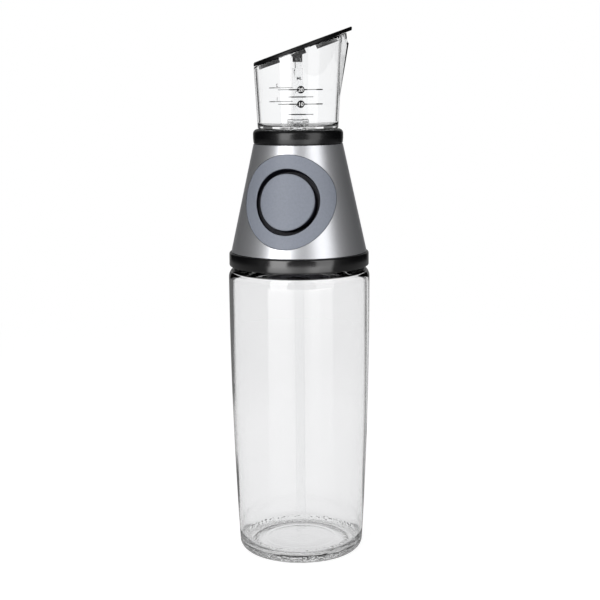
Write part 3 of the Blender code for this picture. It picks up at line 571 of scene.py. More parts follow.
def plain_finish(name, dark, light, rough, metallic=0.0, specular=0.5):
    """A finish for the pump's inner pieces and the inks."""
    made, tree, shader = finish(name, light, rough[0], metallic, specular=specular)
    tint(tree, shader, noise(tree, 1500, 3), dark, light)
    dull(tree, shader, noise(tree, 3000, 3), *rough)
    bump(tree, shader, noise(tree, 4500, 2), 0.1, 0.00005)
    return made


glass = bottle_glass()
stippled = stippled_glass()
clear = cup_plastic()
tube_clear = tube_plastic()
metal = satin_metal()
black = black_moulding("black_moulding", 0.5, (0.2, 0.28))
gloss_black = black_moulding("gloss_black_moulding", 0.8, (0.12, 0.18))
lid_black = black_moulding("lid_moulding", 0.2, (0.3, 0.4))
grey = grey_silicone()
matt_black = plain_finish(
    "matt_black_plastic", (0.055, 0.055, 0.065), (0.08, 0.08, 0.09), (0.65, 0.8), specular=0.15
)
dark_rubber = plain_finish(
    "dark_silicone", (0.02, 0.02, 0.022), (0.035, 0.035, 0.04), (0.5, 0.65)
)
bright_steel = plain_finish(
    "bright_steel", (0.62, 0.62, 0.64), (0.72, 0.72, 0.74), (0.08, 0.16), metallic=1.0
)
white_plastic = plain_finish(
    "natural_plastic", (0.72, 0.72, 0.71), (0.82, 0.82, 0.81), (0.32, 0.45)
)
ink = plain_finish(
    "scale_ink", (0.006, 0.006, 0.007), (0.012, 0.012, 0.013), (0.4, 0.55), specular=0.1
)
white_ink = plain_finish("white_ink", (0.82, 0.82, 0.82), (0.9, 0.9, 0.9), (0.4, 0.55))


# Bottle

def body_radius(height):
    """Outer radius of the glass."""
    top = BODY_HEIGHT - SHOULDER_ROUNDING
    drop = (top - height) / (top - HEEL_ROUNDING)
    return BODY_RADIUS - BODY_TAPER * drop**2


def inner_radius(height):
    """Inner radius of the glass: straight at the top, then as thin a wall as the middle has."""
    tapered = body_radius(height) - GLASS_THIN_WALL
    gap = max(-1, min(1, (GLASS_INNER_RADIUS - tapered) / GLASS_WALL_BLEND))
    return min(GLASS_INNER_RADIUS, tapered) - GLASS_WALL_BLEND * (1 - abs(gap)) ** 2 / 4


def thread_reach(angle, height):
    """How far the neck's thread stands out at this angle and height."""
    start = BODY_HEIGHT + THREAD_START
    reach = 0.0
    for lap in range(2):
        turns = angle / (2 * math.pi) + lap
        if turns > THREAD_TURNS:
            continue
        off = abs(height - start - THREAD_PITCH * turns)
        run_out = min(1, turns * THREAD_RUN_OUT, (THREAD_TURNS - turns) * THREAD_RUN_OUT)
        flank = min(1, max(0, (THREAD_HALF_WIDTH - off) / THREAD_FLANK))
        reach = max(reach, flank * run_out)
    return THREAD_DEPTH * reach


def glass_inside():
    """Outline of the bottle's inside, from the neck down to the middle of its floor."""
    ceiling, corner = GLASS_CEILING, GLASS_CEILING_CORNER
    outline = [(NECK_BORE, ceiling + 0.0013), (NECK_BORE, ceiling + 0.0009)]
    outline += arc((NECK_BORE + 0.0009, ceiling + 0.0009), 0.0009, 180, 270, 6)[1:]
    outline += [(NECK_BORE + 0.0012, ceiling), (0.0300, ceiling), (0.0335, ceiling)]
    outline += [(GLASS_INNER_RADIUS - corner - 0.0003, ceiling)]
    outline += arc((GLASS_INNER_RADIUS - corner, ceiling - corner), corner, 90, 0, 6)
    outline += [(GLASS_INNER_RADIUS, ceiling - corner - 0.0003)]
    wall_top = ceiling - corner - 0.0006
    for row in range(GLASS_ROWS + 1):
        height = wall_top + (GLASS_HEEL_TOP - wall_top) * row / GLASS_ROWS
        outline.append((inner_radius(height), height))
    across = inner_radius(GLASS_HEEL_TOP) - GLASS_FLOOR_EDGE
    edge_height = GLASS_FLOOR + 0.0002
    for degrees in range(8, 90, 8):
        turn = math.radians(degrees)
        rise = (GLASS_HEEL_TOP - edge_height) * (1 - math.sin(turn))
        outline.append((GLASS_FLOOR_EDGE + across * math.cos(turn), edge_height + rise))
    return outline + [(radius, GLASS_FLOOR + rise) for radius, rise in FLOOR_RINGS]


def glass_bottle():
    """Bottle with a heavy ringed base, a rounded shoulder and a threaded neck."""
    ring_outside = BODY_RADIUS - BODY_TAPER - HEEL_ROUNDING
    ring_inside = ring_outside - STANDING_RING
    shoulder_low = BODY_HEIGHT - SHOULDER_ROUNDING
    shoulder_centre = (BODY_RADIUS - SHOULDER_ROUNDING, shoulder_low)
    neck_low = BODY_HEIGHT + NECK_FILLET
    lip = BODY_HEIGHT + NECK_HEIGHT
    neck_high = lip - 0.0009
    outline = list(UNDERSIDE)
    rib_lift = {
        len(outline) + row: BEARING_RIB_DEPTH * math.sin(math.pi * row / BEARING_RIB_ROWS)
        for row in range(1, BEARING_RIB_ROWS)
    }
    outline += [(ring_inside + out, height) for out, height in STANDING_RISE]
    outline += arc((ring_outside, HEEL_ROUNDING), HEEL_ROUNDING, -90, 0, 16)
    side = shoulder_low - HEEL_ROUNDING
    for row in range(1, BODY_ROWS):
        height = HEEL_ROUNDING + side * row / BODY_ROWS
        outline.append((body_radius(height), height))
    outline += arc(shoulder_centre, SHOULDER_ROUNDING, 0, 90, 14)
    outline += [(NECK_RADIUS + NECK_FILLET, BODY_HEIGHT), (NECK_RADIUS, neck_low)]
    neck_rows = range(len(outline), len(outline) + NECK_ROWS - 1)
    neck_span = neck_high - neck_low
    outline += [
        (NECK_RADIUS, neck_low + neck_span * row / NECK_ROWS) for row in range(1, NECK_ROWS)
    ]
    outline += rounded([
        (NECK_RADIUS, neck_high, 0),
        (NECK_RADIUS, lip, LIP_ROUNDING),
        (NECK_BORE, lip, LIP_ROUNDING),
        (NECK_BORE, neck_high, 0),
    ])
    outline += glass_inside()

    def shaped(index, step, angle):
        """The thread on the neck and the ribs that the bottle stands on."""
        radius, height = outline[index]
        if index in neck_rows:
            radius += thread_reach(angle, height)
        if index in rib_lift:
            height += rib_lift[index] * (step % RIB_STEPS == index % 2)
        return radius, height

    turned = lathe(outline, RIB_STEPS * BEARING_RIBS, shaped)
    body = piece("bottle_body", turned, glass, "bottle", ["glass_bottle"])
    body.data.materials.append(stippled)
    for face in body.data.polygons:
        reach = face.center.xy.length
        underneath = face.center.z < GLASS_FLOOR - 0.0003 and reach > ring_inside - 0.0030
        if underneath or (face.center.z < STIPPLE_TOP and reach > ring_outside + 0.0037):
            face.material_index = 1


# Head

def cone_radius(height):
    """Outer radius of the cone shell."""
    return CONE_FOOT_RADIUS - (height - cone_foot) * CONE_TAPER


def face_depth(across, up):
    """Height of the cone's surface over the plane that touches it at the button's centre."""
    reach = (centre_radius - up * math.sin(cone_tilt)) / math.cos(cone_tilt)
    fall = 1 - CONE_TAPER**2
    return (math.sqrt(reach**2 - fall * across**2) - reach) / fall


def face_outline(radius, count, seen=True):
    """Spots across and up the face, round about a level axis if seen, else about the button's."""
    spots = []
    for index in range(count):
        angle = 2 * math.pi * index / count
        across = radius * math.cos(angle)
        up = radius * math.sin(angle)
        for _ in range(12 if seen else 0):
            sunk = face_depth(across, up) * math.sin(cone_tilt)
            up = (radius * math.sin(angle) - sunk) / math.cos(cone_tilt)
        spots.append((across, up))
    return spots


def conformal(rows, segments=128):
    """A body about the button's axis from rows of (radius, seen, follows the cone, height).

    Every point carries how light it is: full at the face, dark just below its edge.
    """
    shades = []
    rings = []
    for radius, seen, follows, height in rows:
        count = segments if radius else 1
        spots = face_outline(radius, count, seen)
        rings.append([(x, y, height + (face_depth(x, y) if follows else 0)) for x, y in spots])
        shades += [min(1, max(0, 1 + (height + 0.0001) / SHADE_DEPTH))] * count
    bm = skin(rings, closed=all(row[0] for row in rows))
    layer = bm.verts.layers.float.new("shade")
    for vert, shade in zip(bm.verts, shades):
        vert[layer] = shade
    return place(bm, button_frame)


def rounded_edge(radius, height, rounding, steps):
    """Rows that round the outer edge of a face down to its side."""
    return [
        (radius - rounding * up, True, True, height - rounding * along)
        for along, up in quarter(steps)
    ]


def button_surround():
    """Grey ring with the guide collar that walls the groove."""
    rounding = SURROUND_ROUNDING
    flat = SURROUND_RADIUS - GROOVE_RADIUS - 2 * rounding
    rows = [(GROOVE_RADIUS, False, False, -GROOVE_DEPTH), (GROOVE_RADIUS, True, True, -0.0014)]
    rows += [
        (GROOVE_RADIUS + rounding * along, True, True, SURROUND_PROUD - rounding * up)
        for along, up in quarter(5)
    ]
    rows += [
        (GROOVE_RADIUS + rounding + flat * share, True, True, SURROUND_PROUD)
        for share in (0.2, 0.4, 0.6, 0.8)
    ]
    rows += rounded_edge(SURROUND_RADIUS, SURROUND_PROUD, rounding, 5)
    rows += [
        (SURROUND_RADIUS, True, True, -SURROUND_DEPTH),
        (GUIDE_RADIUS, True, True, -SURROUND_DEPTH),
        (GUIDE_RADIUS, False, False, -GROOVE_DEPTH),
    ]
    piece("surround_ring", conformal(rows), grey, "head", ["button_surround"])


def push_button():
    """Grey cap, open at the back, its edge rounded."""
    inner = BUTTON_RADIUS - BUTTON_WALL
    rows = [
        (BUTTON_RADIUS * share, True, True, SURROUND_PROUD)
        for share in (0, 0.15, 0.3, 0.45, 0.6, 0.75, 0.87)
    ]
    rows += rounded_edge(BUTTON_RADIUS, SURROUND_PROUD, BUTTON_ROUNDING, 6)
    rows += [
        (BUTTON_RADIUS, False, True, -0.0012),
        (BUTTON_RADIUS, False, False, -GROOVE_DEPTH),
        (inner, False, False, -GROOVE_DEPTH),
        (inner, False, True, -0.0018),
        (inner / 2, False, True, -0.0018),
        (0, False, True, -0.0018),
    ]
    piece("button_cap", conformal(rows), grey, "button", ["push_button"])


def shade_as_cone(mesh):
    """Give both sides of the shell the normals of a true cone."""
    lean = Vector((0, 0, math.sin(cone_tilt)))
    normals = [None] * len(mesh.loops)
    for face in mesh.polygons:
        radial = Vector((*face.center.xy, 0)).normalized()
        side = face.normal.dot((radial * math.cos(cone_tilt) + lean).normalized())
        for loop in face.loop_indices:
            normals[loop] = face.normal.copy()
            if abs(side) > 0.95:
                point = mesh.vertices[mesh.loops[loop].vertex_index].co
                out = Vector((*point.xy, 0)).normalized()
                normals[loop] = (out * math.cos(cone_tilt) + lean) * (1 if side > 0 else -1)
    mesh.normals_split_custom_set(normals)


def cone_shell():
    """Satin sheet-metal cone with a round window, shaded by the true cone."""
    rise = cone_top - cone_foot
    levels = [cone_foot + rise * row / CONE_ROWS for row in range(CONE_ROWS + 1)]
    outline = [(cone_radius(level), level) for level in levels]
    outline += [(cone_radius(level) - shell_across, level) for level in reversed(levels)]
    shell = piece("cone_body", lathe(outline, 192), metal, None)
    rim = face_outline(SURROUND_RADIUS + WINDOW_PLAY, 160)
    plug = skin([[(*spot, painted_groove_shade) for spot in rim] for painted_groove_shade in (-0.016, 0.004)])
    tool = piece("window_cutter", place(plug, button_frame), metal, None)
    cut = shell.modifiers.new("window", "BOOLEAN")
    cut.operation = "DIFFERENCE"
    cut.solver = "EXACT"
    cut.object = tool
    mesh = evaluated(shell)
    shell.modifiers.remove(cut)
    bpy.data.objects.remove(tool, do_unlink=True)
    shell.data = mesh
    mesh.name = "cone_body"
    mesh.shade_smooth()
    shade_as_cone(mesh)
    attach(shell, "head")
    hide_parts("cone_shell")


def base_collar():
    """Black screw closure under the cone."""
    root = NECK_RADIUS + COLLAR_THREAD_ROOM
    sleeve = root + COLLAR_SLEEVE
    upstand = collar_top + COLLAR_UPSTAND
    plate_low = BODY_HEIGHT + NECK_HEIGHT + GASKET_ROOM
    plate_high = plate_low + COLLAR_PLATE
    step_in = shell_across + 0.0006
    outline = rounded([
        (root, collar_foot, 0.0003),
        (COLLAR_RADIUS, collar_foot, 0.0008),
        (COLLAR_RADIUS, collar_top, 0.0012),
        (cone_radius(collar_top) - step_in, collar_top, 0),
        (cone_radius(upstand) - step_in, upstand, 0.0003),
        (sleeve, upstand, 0.0003),
        (sleeve, plate_high, 0),
        (COLLAR_BORE, plate_high, 0.0003),
        (COLLAR_BORE, plate_low, 0.0003),
        (root, plate_low, 0),
    ])
    ring = lathe(outline, 160)
    piece("collar_ring", ring, gloss_black, "head", ["base_collar"])


def top_collar():
    """Black ring that carries the cup."""
    top = top_high.z
    foot = cone_top + FIT
    web = top - SOCKET_DEPTH
    web_low = web - 0.0018
    seal_groove = SOCKET_BORE + SEAL_GROOVE_DEPTH
    seal_low = web + 0.0030
    seal_high = seal_low + SEAL_GROOVE_HEIGHT
    column, sleeve = 0.0078, 0.0096
    column_top = web - 0.0033
    sleeve_low = column_top - 0.0068
    skirt = cone_radius(cone_top) - shell_across - FIT
    skirt_inner = skirt - 0.0015
    skirt_low = web - 0.0046
    outline = rounded([
        (TOP_COLLAR_RADIUS - 0.0003, foot, 0.0006),
        (TOP_COLLAR_RADIUS, seal_low, 0.0010),
        (TOP_COLLAR_RADIUS, top, 0.0025),
        (SOCKET_BORE, top, 0.0004),
        (SOCKET_BORE, seal_high, 0),
        (seal_groove, seal_high, 0),
        (seal_groove, seal_low, 0),
        (SOCKET_BORE, seal_low, 0),
        (SOCKET_BORE, web, 0.0006),
        (0.0046, web, 0.0002),
        (0.0034, column_top + FIT, 0),
        (column, column_top + FIT, 0),
        (column, sleeve_low, 0.0003),
        (sleeve, sleeve_low, 0.0003),
        (sleeve, web_low, 0.0003),
        (skirt_inner, web_low, 0.0003),
        (skirt_inner, skirt_low, 0.0003),
        (skirt, skirt_low, 0.0003),
        (skirt, foot, 0),
    ], 5)
    piece("cup_collar", lathe(outline, 160), black, "head", ["top_collar"])


def bellows():
    """Folded silicone cup on the button's axis."""
    front = BELLOWS_FRONT
    back = 0.0031 - centre_radius / math.cos(cone_tilt) + FIT
    fold_front = front - BELLOWS_FACE
    outside = [(0, front), (0.0100, front)]
    inside = [(0, fold_front), (0.0096, fold_front)]
    steps = BELLOWS_FOLDS * BELLOWS_FOLD_STEPS
    for step in range(steps + 1):
        share = step / steps
        fold = BELLOWS_FOLD * (1 - math.cos(2 * math.pi * share * BELLOWS_FOLDS)) / 2
        level = fold_front - (fold_front - back) * share
        outside.append((BELLOWS_RADIUS + fold, level))
        inside.append((BELLOWS_RADIUS - BELLOWS_WALL + fold, level))
    bm = place(lathe(outside + inside[::-1], 72), button_frame)
    obj = piece("bellows_cup", bm, dark_rubber, None)
    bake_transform(obj)
    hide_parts("pump_bellows")


# Cup, riser and lid

def cup_place(bm):
    """Turn a piece made in the cup's own frame to where its spout points."""
    return place(bm, Matrix.Rotation(CUP_TURN, 4, "Z"))


def rim_height(across):
    """Height of the lid's underside at a distance from the axis towards the spout."""
    return cup_foot + RIM_BACK_HEIGHT + (across + CUP_FOOT_RADIUS) * math.tan(RIM_SLOPE)


def cup_circle(height):
    """Outer radius of the cup's round part."""
    return CUP_FOOT_RADIUS + CUP_DRAFT * (height - cup_foot)


def cup_radius(angle, height):
    """Outer radius of the cup, drawn out to a spout towards +X."""
    circle = cup_circle(height)
    tip = circle + max(0, SPOUT_LEAN * (height - cup_foot - SPOUT_START))
    flank = min(math.acos(circle / tip), SPOUT_HALF_ANGLE)
    turn = abs(angle)
    if turn >= flank:
        return circle
    return math.sin(flank) / (math.sin(flank - turn) / tip + math.sin(turn) / circle)


def inner_share(height):
    """Size of the cup's inside as a share of its outside."""
    return 1 - CUP_WALL / cup_circle(height)


def rim_radius(angle, beak=0.0):
    """Radius where the cup's outside meets the lid's underside."""
    radius = CUP_FOOT_RADIUS
    for _ in range(30):
        radius = cup_radius(angle, rim_height(radius * math.cos(angle)))
    return radius + beak * math.exp(-((radius * angle / NOTCH_HALF_WIDTH) ** 2))


def cup_angles():
    """Angles round the cup, closer together at the spout."""
    half = CUP_COLUMNS // 2
    shares = [index / half for index in range(1 - half, half + 1)]
    return [math.copysign(math.pi * abs(share) ** 1.4, share) for share in shares]


def levels_between(start, end):
    """Evenly spaced levels of the cup's wall."""
    return [start + (end - start) * row / CUP_ROWS for row in range(CUP_ROWS + 1)]


def cup_wall(angle):
    """Outline up the cup's outside and down its inside, at one angle round it."""
    edge = CUP_EDGE_ROUNDING
    radius = rim_radius(angle)
    rim = rim_height(radius * math.cos(angle))
    notch = max(0, 1 - (radius * angle / NOTCH_HALF_WIDTH) ** 2) * NOTCH_DEPTH
    outer_top = rim - FIT - notch
    inner_top = rim_height(radius * inner_share(rim) * math.cos(angle)) - FIT - notch
    outer = cup_radius(angle, outer_top)
    inner = cup_radius(angle, inner_top) * inner_share(inner_top)
    lip = [
        (outer - 0.3 * edge, outer_top - 0.3 * edge),
        (outer - edge, outer_top),
        (inner + edge, inner_top),
        (inner + 0.3 * edge, inner_top - 0.3 * edge),
    ]
    floor = cup_foot + FIT + CUP_FLOOR + CUP_FLOOR_ROUNDING
    up = levels_between(cup_foot + CUP_FOOT_ROUNDING, outer_top - edge)
    down = levels_between(floor, inner_top - edge)[::-1]
    outside = [(cup_radius(angle, level), level) for level in up]
    inside = [(cup_radius(angle, level) * inner_share(level), level) for level in down]
    return outside + lip + inside


def measuring_cup():
    """Clear cup with a spigot, a boss for the riser and a spout cut open at its nose."""
    floor_low = cup_foot + FIT
    floor_top = floor_low + CUP_FLOOR
    spigot = SOCKET_BORE - FIT
    spigot_low = cup_foot - SPIGOT_DEPTH
    inner_floor = CUP_FOOT_RADIUS - CUP_WALL
    boss_top = floor_top + BOSS_HEIGHT
    below = [
        (RISER_HOLE, boss_top - 0.0002),
        (RISER_HOLE, floor_low),
        (spigot - SPIGOT_WALL, floor_low),
        (spigot - SPIGOT_WALL, spigot_low + 0.0003),
        (spigot - SPIGOT_WALL + 0.0003, spigot_low),
        (spigot - 0.0003, spigot_low),
        (spigot, spigot_low + 0.0003),
        (spigot, cup_foot),
    ]
    below += [
        (CUP_FOOT_RADIUS - CUP_FOOT_ROUNDING * up, cup_foot + CUP_FOOT_ROUNDING * along)
        for along, up in quarter(5)[:-1]
    ]
    above = [
        (inner_floor - CUP_FLOOR_ROUNDING * along, floor_top + CUP_FLOOR_ROUNDING * up)
        for along, up in quarter(6)[1:]
    ]
    above += [
        (BOSS_RADIUS + 0.0012, floor_top),
        (BOSS_RADIUS + 0.0004, floor_top + 0.0003),
        (BOSS_RADIUS, floor_top + 0.0010),
        (BOSS_RADIUS, boss_top - 0.0004),
        (BOSS_RADIUS - 0.0004, boss_top),
        (RISER_HOLE + 0.0002, boss_top),
    ]
    columns = []
    for angle in cup_angles():
        column = below + cup_wall(angle) + above
        columns.append([(r * math.cos(angle), r * math.sin(angle), z) for r, z in column])
    bm = cup_place(skin(list(zip(*columns)), closed=True))
    piece("cup_body", bm, clear, "cup", ["measuring_cup"], sharp=40)


def lid_ring(share, inset, lift):
    """Points round the lid at a share of its size, lifted square to the ground."""
    ring = []
    for angle in cup_angles():
        radius = rim_radius(angle, LID_BEAK) * share - inset
        x = radius * math.cos(angle)
        ring.append((x, radius * math.sin(angle), rim_height(x) + lift))
    return ring


def skirt_tab(start, end):
    """One tab of the lid's skirt, between two angles in degrees."""
    normal = Vector((-math.sin(RIM_SLOPE), 0, math.cos(RIM_SLOPE)))
    inner = SKIRT_RADIUS - SKIRT_WALL
    outline = (
        (inner + 0.0002, -SKIRT_DEPTH),
        (SKIRT_RADIUS - 0.0002, -SKIRT_DEPTH),
        (SKIRT_RADIUS, -SKIRT_DEPTH + 0.0003),
        (SKIRT_RADIUS, LID_THICKNESS / 2),
        (inner, LID_THICKNESS / 2),
        (inner, -SKIRT_DEPTH + 0.0003),
    )
    steps = math.ceil((end - start) / 3)
    sections = []
    for step in range(steps + 1):
        angle = math.radians(start + (end - start) * step / steps)
        section = []
        for radius, lift in outline:
            x = radius * math.cos(angle)
            section.append(Vector((x, radius * math.sin(angle), rim_height(x))) + normal * lift)
        sections.append(section)
    return skin(sections)


def cup_lid():
    """Slanted plate with a beak over the spout and a skirt of tabs inside the cup."""
    rise = LID_THICKNESS / math.cos(RIM_SLOPE)
    edge = [(0.00025, 0), (0.00007, 0.08), (0, 0.2)]
    edge += [(LID_ROUNDING * along, 1 - 0.38 * up) for along, up in quarter(6)]
    rings = [[(0, 0, rim_height(0))]]
    rings += [lid_ring(share, 0, 0) for share in (0.35, 0.7, 0.9)]
    rings += [lid_ring(1, inset, lift * rise) for inset, lift in edge]
    rings += [lid_ring(share, 0, rise) for share in (0.93, 0.7, 0.35)]
    rings.append([(0, 0, rim_height(0) + rise)])
    bm = skin(rings)
    for start, end in SKIRT_SPANS:
        join(bm, skirt_tab(start, end))
    piece("lid_plate", cup_place(bm), lid_black, "lid", ["cup_lid"])


def riser():
    """Clear tube with a narrower neck for the nozzle."""
    shoulder = nozzle_low.z - 0.0033
    flange_top = cup_foot + 0.0002
    flange_low = flange_top - 0.0012
    outline = rounded([
        (RISER_BORE, riser_low.z, 0.0002),
        (RISER_RADIUS, riser_low.z, 0.0004),
        (RISER_RADIUS, flange_low, 0),
        (RISER_FLANGE, flange_low, 0.0002),
        (RISER_FLANGE, flange_top, 0.0002),
        (RISER_RADIUS, flange_top, 0),
        (RISER_RADIUS, shoulder, 0.0004),
        (RISER_NECK, shoulder, 0),
        (RISER_NECK, riser_high.z, 0.0002),
        (RISER_NECK_BORE, riser_high.z, 0.0001),
        (RISER_NECK_BORE, shoulder, 0),
        (RISER_BORE, shoulder - 0.0018, 0),
    ], 4)
    piece("riser_pipe", lathe(outline, 64), clear, "cup", ["riser_tube"])


def dip_tube():
    """Straight clear tube down to the bottle's floor, cut at a slant."""
    low, high = tube_low.z, tube_high.z
    outline = [(TUBE_BORE, low), (TUBE_RADIUS, low), (TUBE_RADIUS, high), (TUBE_BORE, high)]

    def shaped(index, step, angle):
        """The slanted cut at the tube's foot."""
        radius, height = outline[index]
        slant = (radius * math.cos(angle) + TUBE_RADIUS) * TUBE_SLANT
        return radius, height + (slant if height == low else 0)

    turned = lathe(outline, 64, shaped)
    piece("suction_tube", turned, tube_clear, "head", ["dip_tube"])


def slotted_nozzle():
    """Geometry nodes that stand a ring of ribs round the nozzle."""
    tree = bpy.data.node_groups.new("nozzle_ribs", "GeometryNodeTree")
    face = tree.interface
    face.new_socket("Geometry", in_out="OUTPUT", socket_type="NodeSocketGeometry")
    sockets = {}
    for label, kind in (
        ("Ribs", "NodeSocketInt"),
        ("Radius", "NodeSocketFloat"),
        ("Rib width", "NodeSocketFloat"),
        ("Rib depth", "NodeSocketFloat"),
        ("Rib height", "NodeSocketFloat"),
        ("Middle height", "NodeSocketFloat"),
        ("Finish", "NodeSocketMaterial"),
    ):
        socket = face.new_socket(label, in_out="INPUT", socket_type=kind)
        sockets[label] = socket.identifier
    given = tree.nodes.new("NodeGroupInput").outputs
    circle = {"Vertices": given["Ribs"], "Radius": given["Radius"]}
    points = add(tree, "GeometryNodeMeshCircle", circle, "Mesh")
    size = add(tree, "ShaderNodeCombineXYZ", {
        "X": given["Rib depth"], "Y": given["Rib width"], "Z": given["Rib height"],
    }, "Vector")
    block = {"Size": size, "Vertices X": 2, "Vertices Y": 5, "Vertices Z": 2}
    rib = add(tree, "GeometryNodeMeshCube", block, "Mesh")
    aim = tree.nodes.new("FunctionNodeAlignRotationToVector")
    aim.axis = "X"
    aim.pivot_axis = "Z"
    fill(tree, aim, {"Vector": tree.nodes.new("GeometryNodeInputPosition").outputs["Position"]})
    stood = add(tree, "GeometryNodeInstanceOnPoints", {
        "Points": points, "Instance": rib, "Rotation": aim.outputs["Rotation"],
    }, "Instances")
    lift = add(tree, "ShaderNodeCombineXYZ", {"Z": given["Middle height"]}, "Vector")
    lifting = {"Geometry": stood, "Translation": lift}
    lifted = add(tree, "GeometryNodeTransform", lifting, "Geometry")
    real = add(tree, "GeometryNodeRealizeInstances", {"Geometry": lifted}, "Geometry")
    covering = {"Geometry": real, "Material": given["Finish"]}
    covered = add(tree, "GeometryNodeSetMaterial", covering, "Geometry")
    fill(tree, tree.nodes.new("NodeGroupOutput"), {"Geometry": covered})
    return tree, sockets


def bake(name, tree, values):
    """Turn a geometry nodes tree with these inputs into one plain mesh."""
    holder = linked(name, bpy.data.meshes.new(name + "_start"))
    modifier = holder.modifiers.new(name, "NODES")
    modifier.node_group = tree
    for identifier, value in values.items():
        modifier[identifier] = value
    mesh = evaluated(holder)
    bpy.data.objects.remove(holder, do_unlink=True)
    return mesh


def nozzle():
    """Black cap with upright slots between its ribs."""
    low, high = nozzle_low.z, nozzle_high.z
    tree, sockets = slotted_nozzle()
    ribs = bake("nozzle_ribs", tree, {
        sockets["Ribs"]: RIB_COUNT,
        sockets["Radius"]: RIB_CIRCLE,
        sockets["Rib width"]: RIB_WIDTH,
        sockets["Rib depth"]: RIB_DEPTH,
        sockets["Rib height"]: high - low - 0.0010,
        sockets["Middle height"]: (low + high) / 2 - 0.0002,
        sockets["Finish"]: black,
    })
    cap_low = high - NOZZLE_CAP
    ring_top = low + NOZZLE_RING
    cap = rounded([
        (0, cap_low, 0),
        (NOZZLE_RADIUS, cap_low, 0.0001),
        (NOZZLE_RADIUS, high, 0.0004),
        (0, high, 0),
    ], 4)
    ring = rounded([
        (NOZZLE_BORE, low, 0.0001),
        (NOZZLE_RADIUS, low, 0.0001),
        (NOZZLE_RADIUS, ring_top, 0.0001),
        (NOZZLE_BORE, ring_top, 0.0001),
    ], 3)
    bm = lathe(cap, 48)
    join(bm, lathe(ring, 48))
    bm.from_mesh(ribs)
    piece("nozzle_cap", bm, black, "cup", ["riser_nozzle"])


# Graduations

def wrapped(shape, middle, level, turn, lift=INK_LIFT):
    """Wrap a flat mesh, in x across and y up, round the cup's wall as a thin film of ink."""
    flat = bmesh.new()
    flat.from_mesh(shape)
    bmesh.ops.triangulate(flat, faces=flat.faces)
    solid = bmesh.ops.extrude_face_region(flat, geom=list(flat.faces))
    raised = {item for item in solid["geom"] if isinstance(item, bmesh.types.BMVert)}
    for vert in flat.verts:
        height = level + vert.co.y
        circle = cup_circle(height)
        out = circle + lift + (INK_THICKNESS if vert in raised else 0)
        angle = turn + (middle + vert.co.x) / circle
        vert.co = (out * math.cos(angle), out * math.sin(angle), height)
    bmesh.ops.recalc_face_normals(flat, faces=flat.faces)
    return flat


def bar(left, right, thickness):
    """A flat line, finely divided along its length."""
    bm = bmesh.new()
    steps = max(2, math.ceil((right - left) / 0.0006))
    rows = []
    for step in range(steps + 1):
        x = left + (right - left) * step / steps
        rows.append([bm.verts.new((x, side * thickness / 2, 0)) for side in (-1, 1)])
    for before, after in zip(rows, rows[1:]):
        bm.faces.new((before[0], after[0], after[1], before[1]))
    return plain_mesh("bar", bm)


def disc(radius, rings=5, segments=40):
    """A flat disc made of rings, so that it can follow the wall."""
    bm = bmesh.new()
    turns = [2 * math.pi * index / segments for index in range(segments)]
    before = [bm.verts.new((0, 0, 0))] * segments
    for ring in range(1, rings + 1):
        reach = radius * ring / rings
        verts = [bm.verts.new((reach * math.cos(a), reach * math.sin(a), 0)) for a in turns]
        for index in range(segments):
            after = (index + 1) % segments
            corners = (before[index], verts[index], verts[after], before[after])
            bm.faces.new(list(dict.fromkeys(corners)))
        before = verts
    return plain_mesh("disc", bm)


def figures(text, size):
    """Generic figures as a flat mesh, centred on the origin."""
    curve = bpy.data.curves.new("figures", "FONT")
    curve.body = text
    curve.size = size
    curve.align_x = "CENTER"
    curve.align_y = "CENTER"
    curve.offset = size * 0.012
    holder = linked("figures", curve)
    bpy.context.view_layer.update()
    mesh = evaluated(holder)
    bpy.data.objects.remove(holder, do_unlink=True)
    levels = [vert.co.y for vert in mesh.vertices]
    middle = (min(levels) + max(levels)) / 2
    for vert in mesh.vertices:
        vert.co.y -= middle
    return mesh


def graduations():
    """The cup's front scale in millilitres and the plainer scale at its back."""
    front = -math.pi / 2
    back = math.pi / 2
    dark = bmesh.new()
    light = bmesh.new()
    for level, text in FRONT_FIGURES:
        for line in FRONT_LINES:
            join(dark, wrapped(bar(*line), 0, level, front))
        join(dark, wrapped(disc(FRONT_DISC), 0, level, front))
        number = figures(text, FRONT_FIGURE_SIZE)
        join(light, wrapped(number, 0, level, front, lift=2 * INK_LIFT))
    for level in HALF_LEVELS:
        for line in HALF_LINES:
            join(dark, wrapped(bar(*line), 0, level, front))
    join(dark, wrapped(figures("ML", UNIT_SIZE), UNIT_ACROSS, UNIT_LEVEL, front))
    for level, text in BACK_FIGURES:
        for line in BACK_LINES:
            join(dark, wrapped(bar(*line), 0, level, back))
        number = figures(text, BACK_FIGURE_SIZE)
        join(dark, wrapped(number, BACK_FIGURE_ACROSS, level + BACK_FIGURE_LIFT, back))
    piece("scale_marks", cup_place(dark), ink, "cup")
    piece("scale_figures", cup_place(light), white_ink, "cup")


# Carried-over pieces

def dress_frame():
    """Give the pump's inner pieces their finishes."""
    finishes = {
        "neck_gasket": dark_rubber,
        "button_plunger": matt_black,
        "pump_body": matt_black,
        "inlet_ball": bright_steel,
        "outlet_ball": bright_steel,
        "inlet_retainer": white_plastic,
        "outlet_retainer": white_plastic,
        "inlet_fitting": tube_clear,
        "cup_seal": dark_rubber,
        "riser_seal": dark_rubber,
    }
    for node, made in finishes.items():
        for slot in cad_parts[node].material_slots:
            slot.material = made


# Studio

def towards(turn, distance, height):
    """A spot, at a turn in degrees about the object from the camera's direction."""
    angle = CAMERA_TURN + math.radians(turn)
    return Vector((distance * math.sin(angle), -distance * math.cos(angle), height))


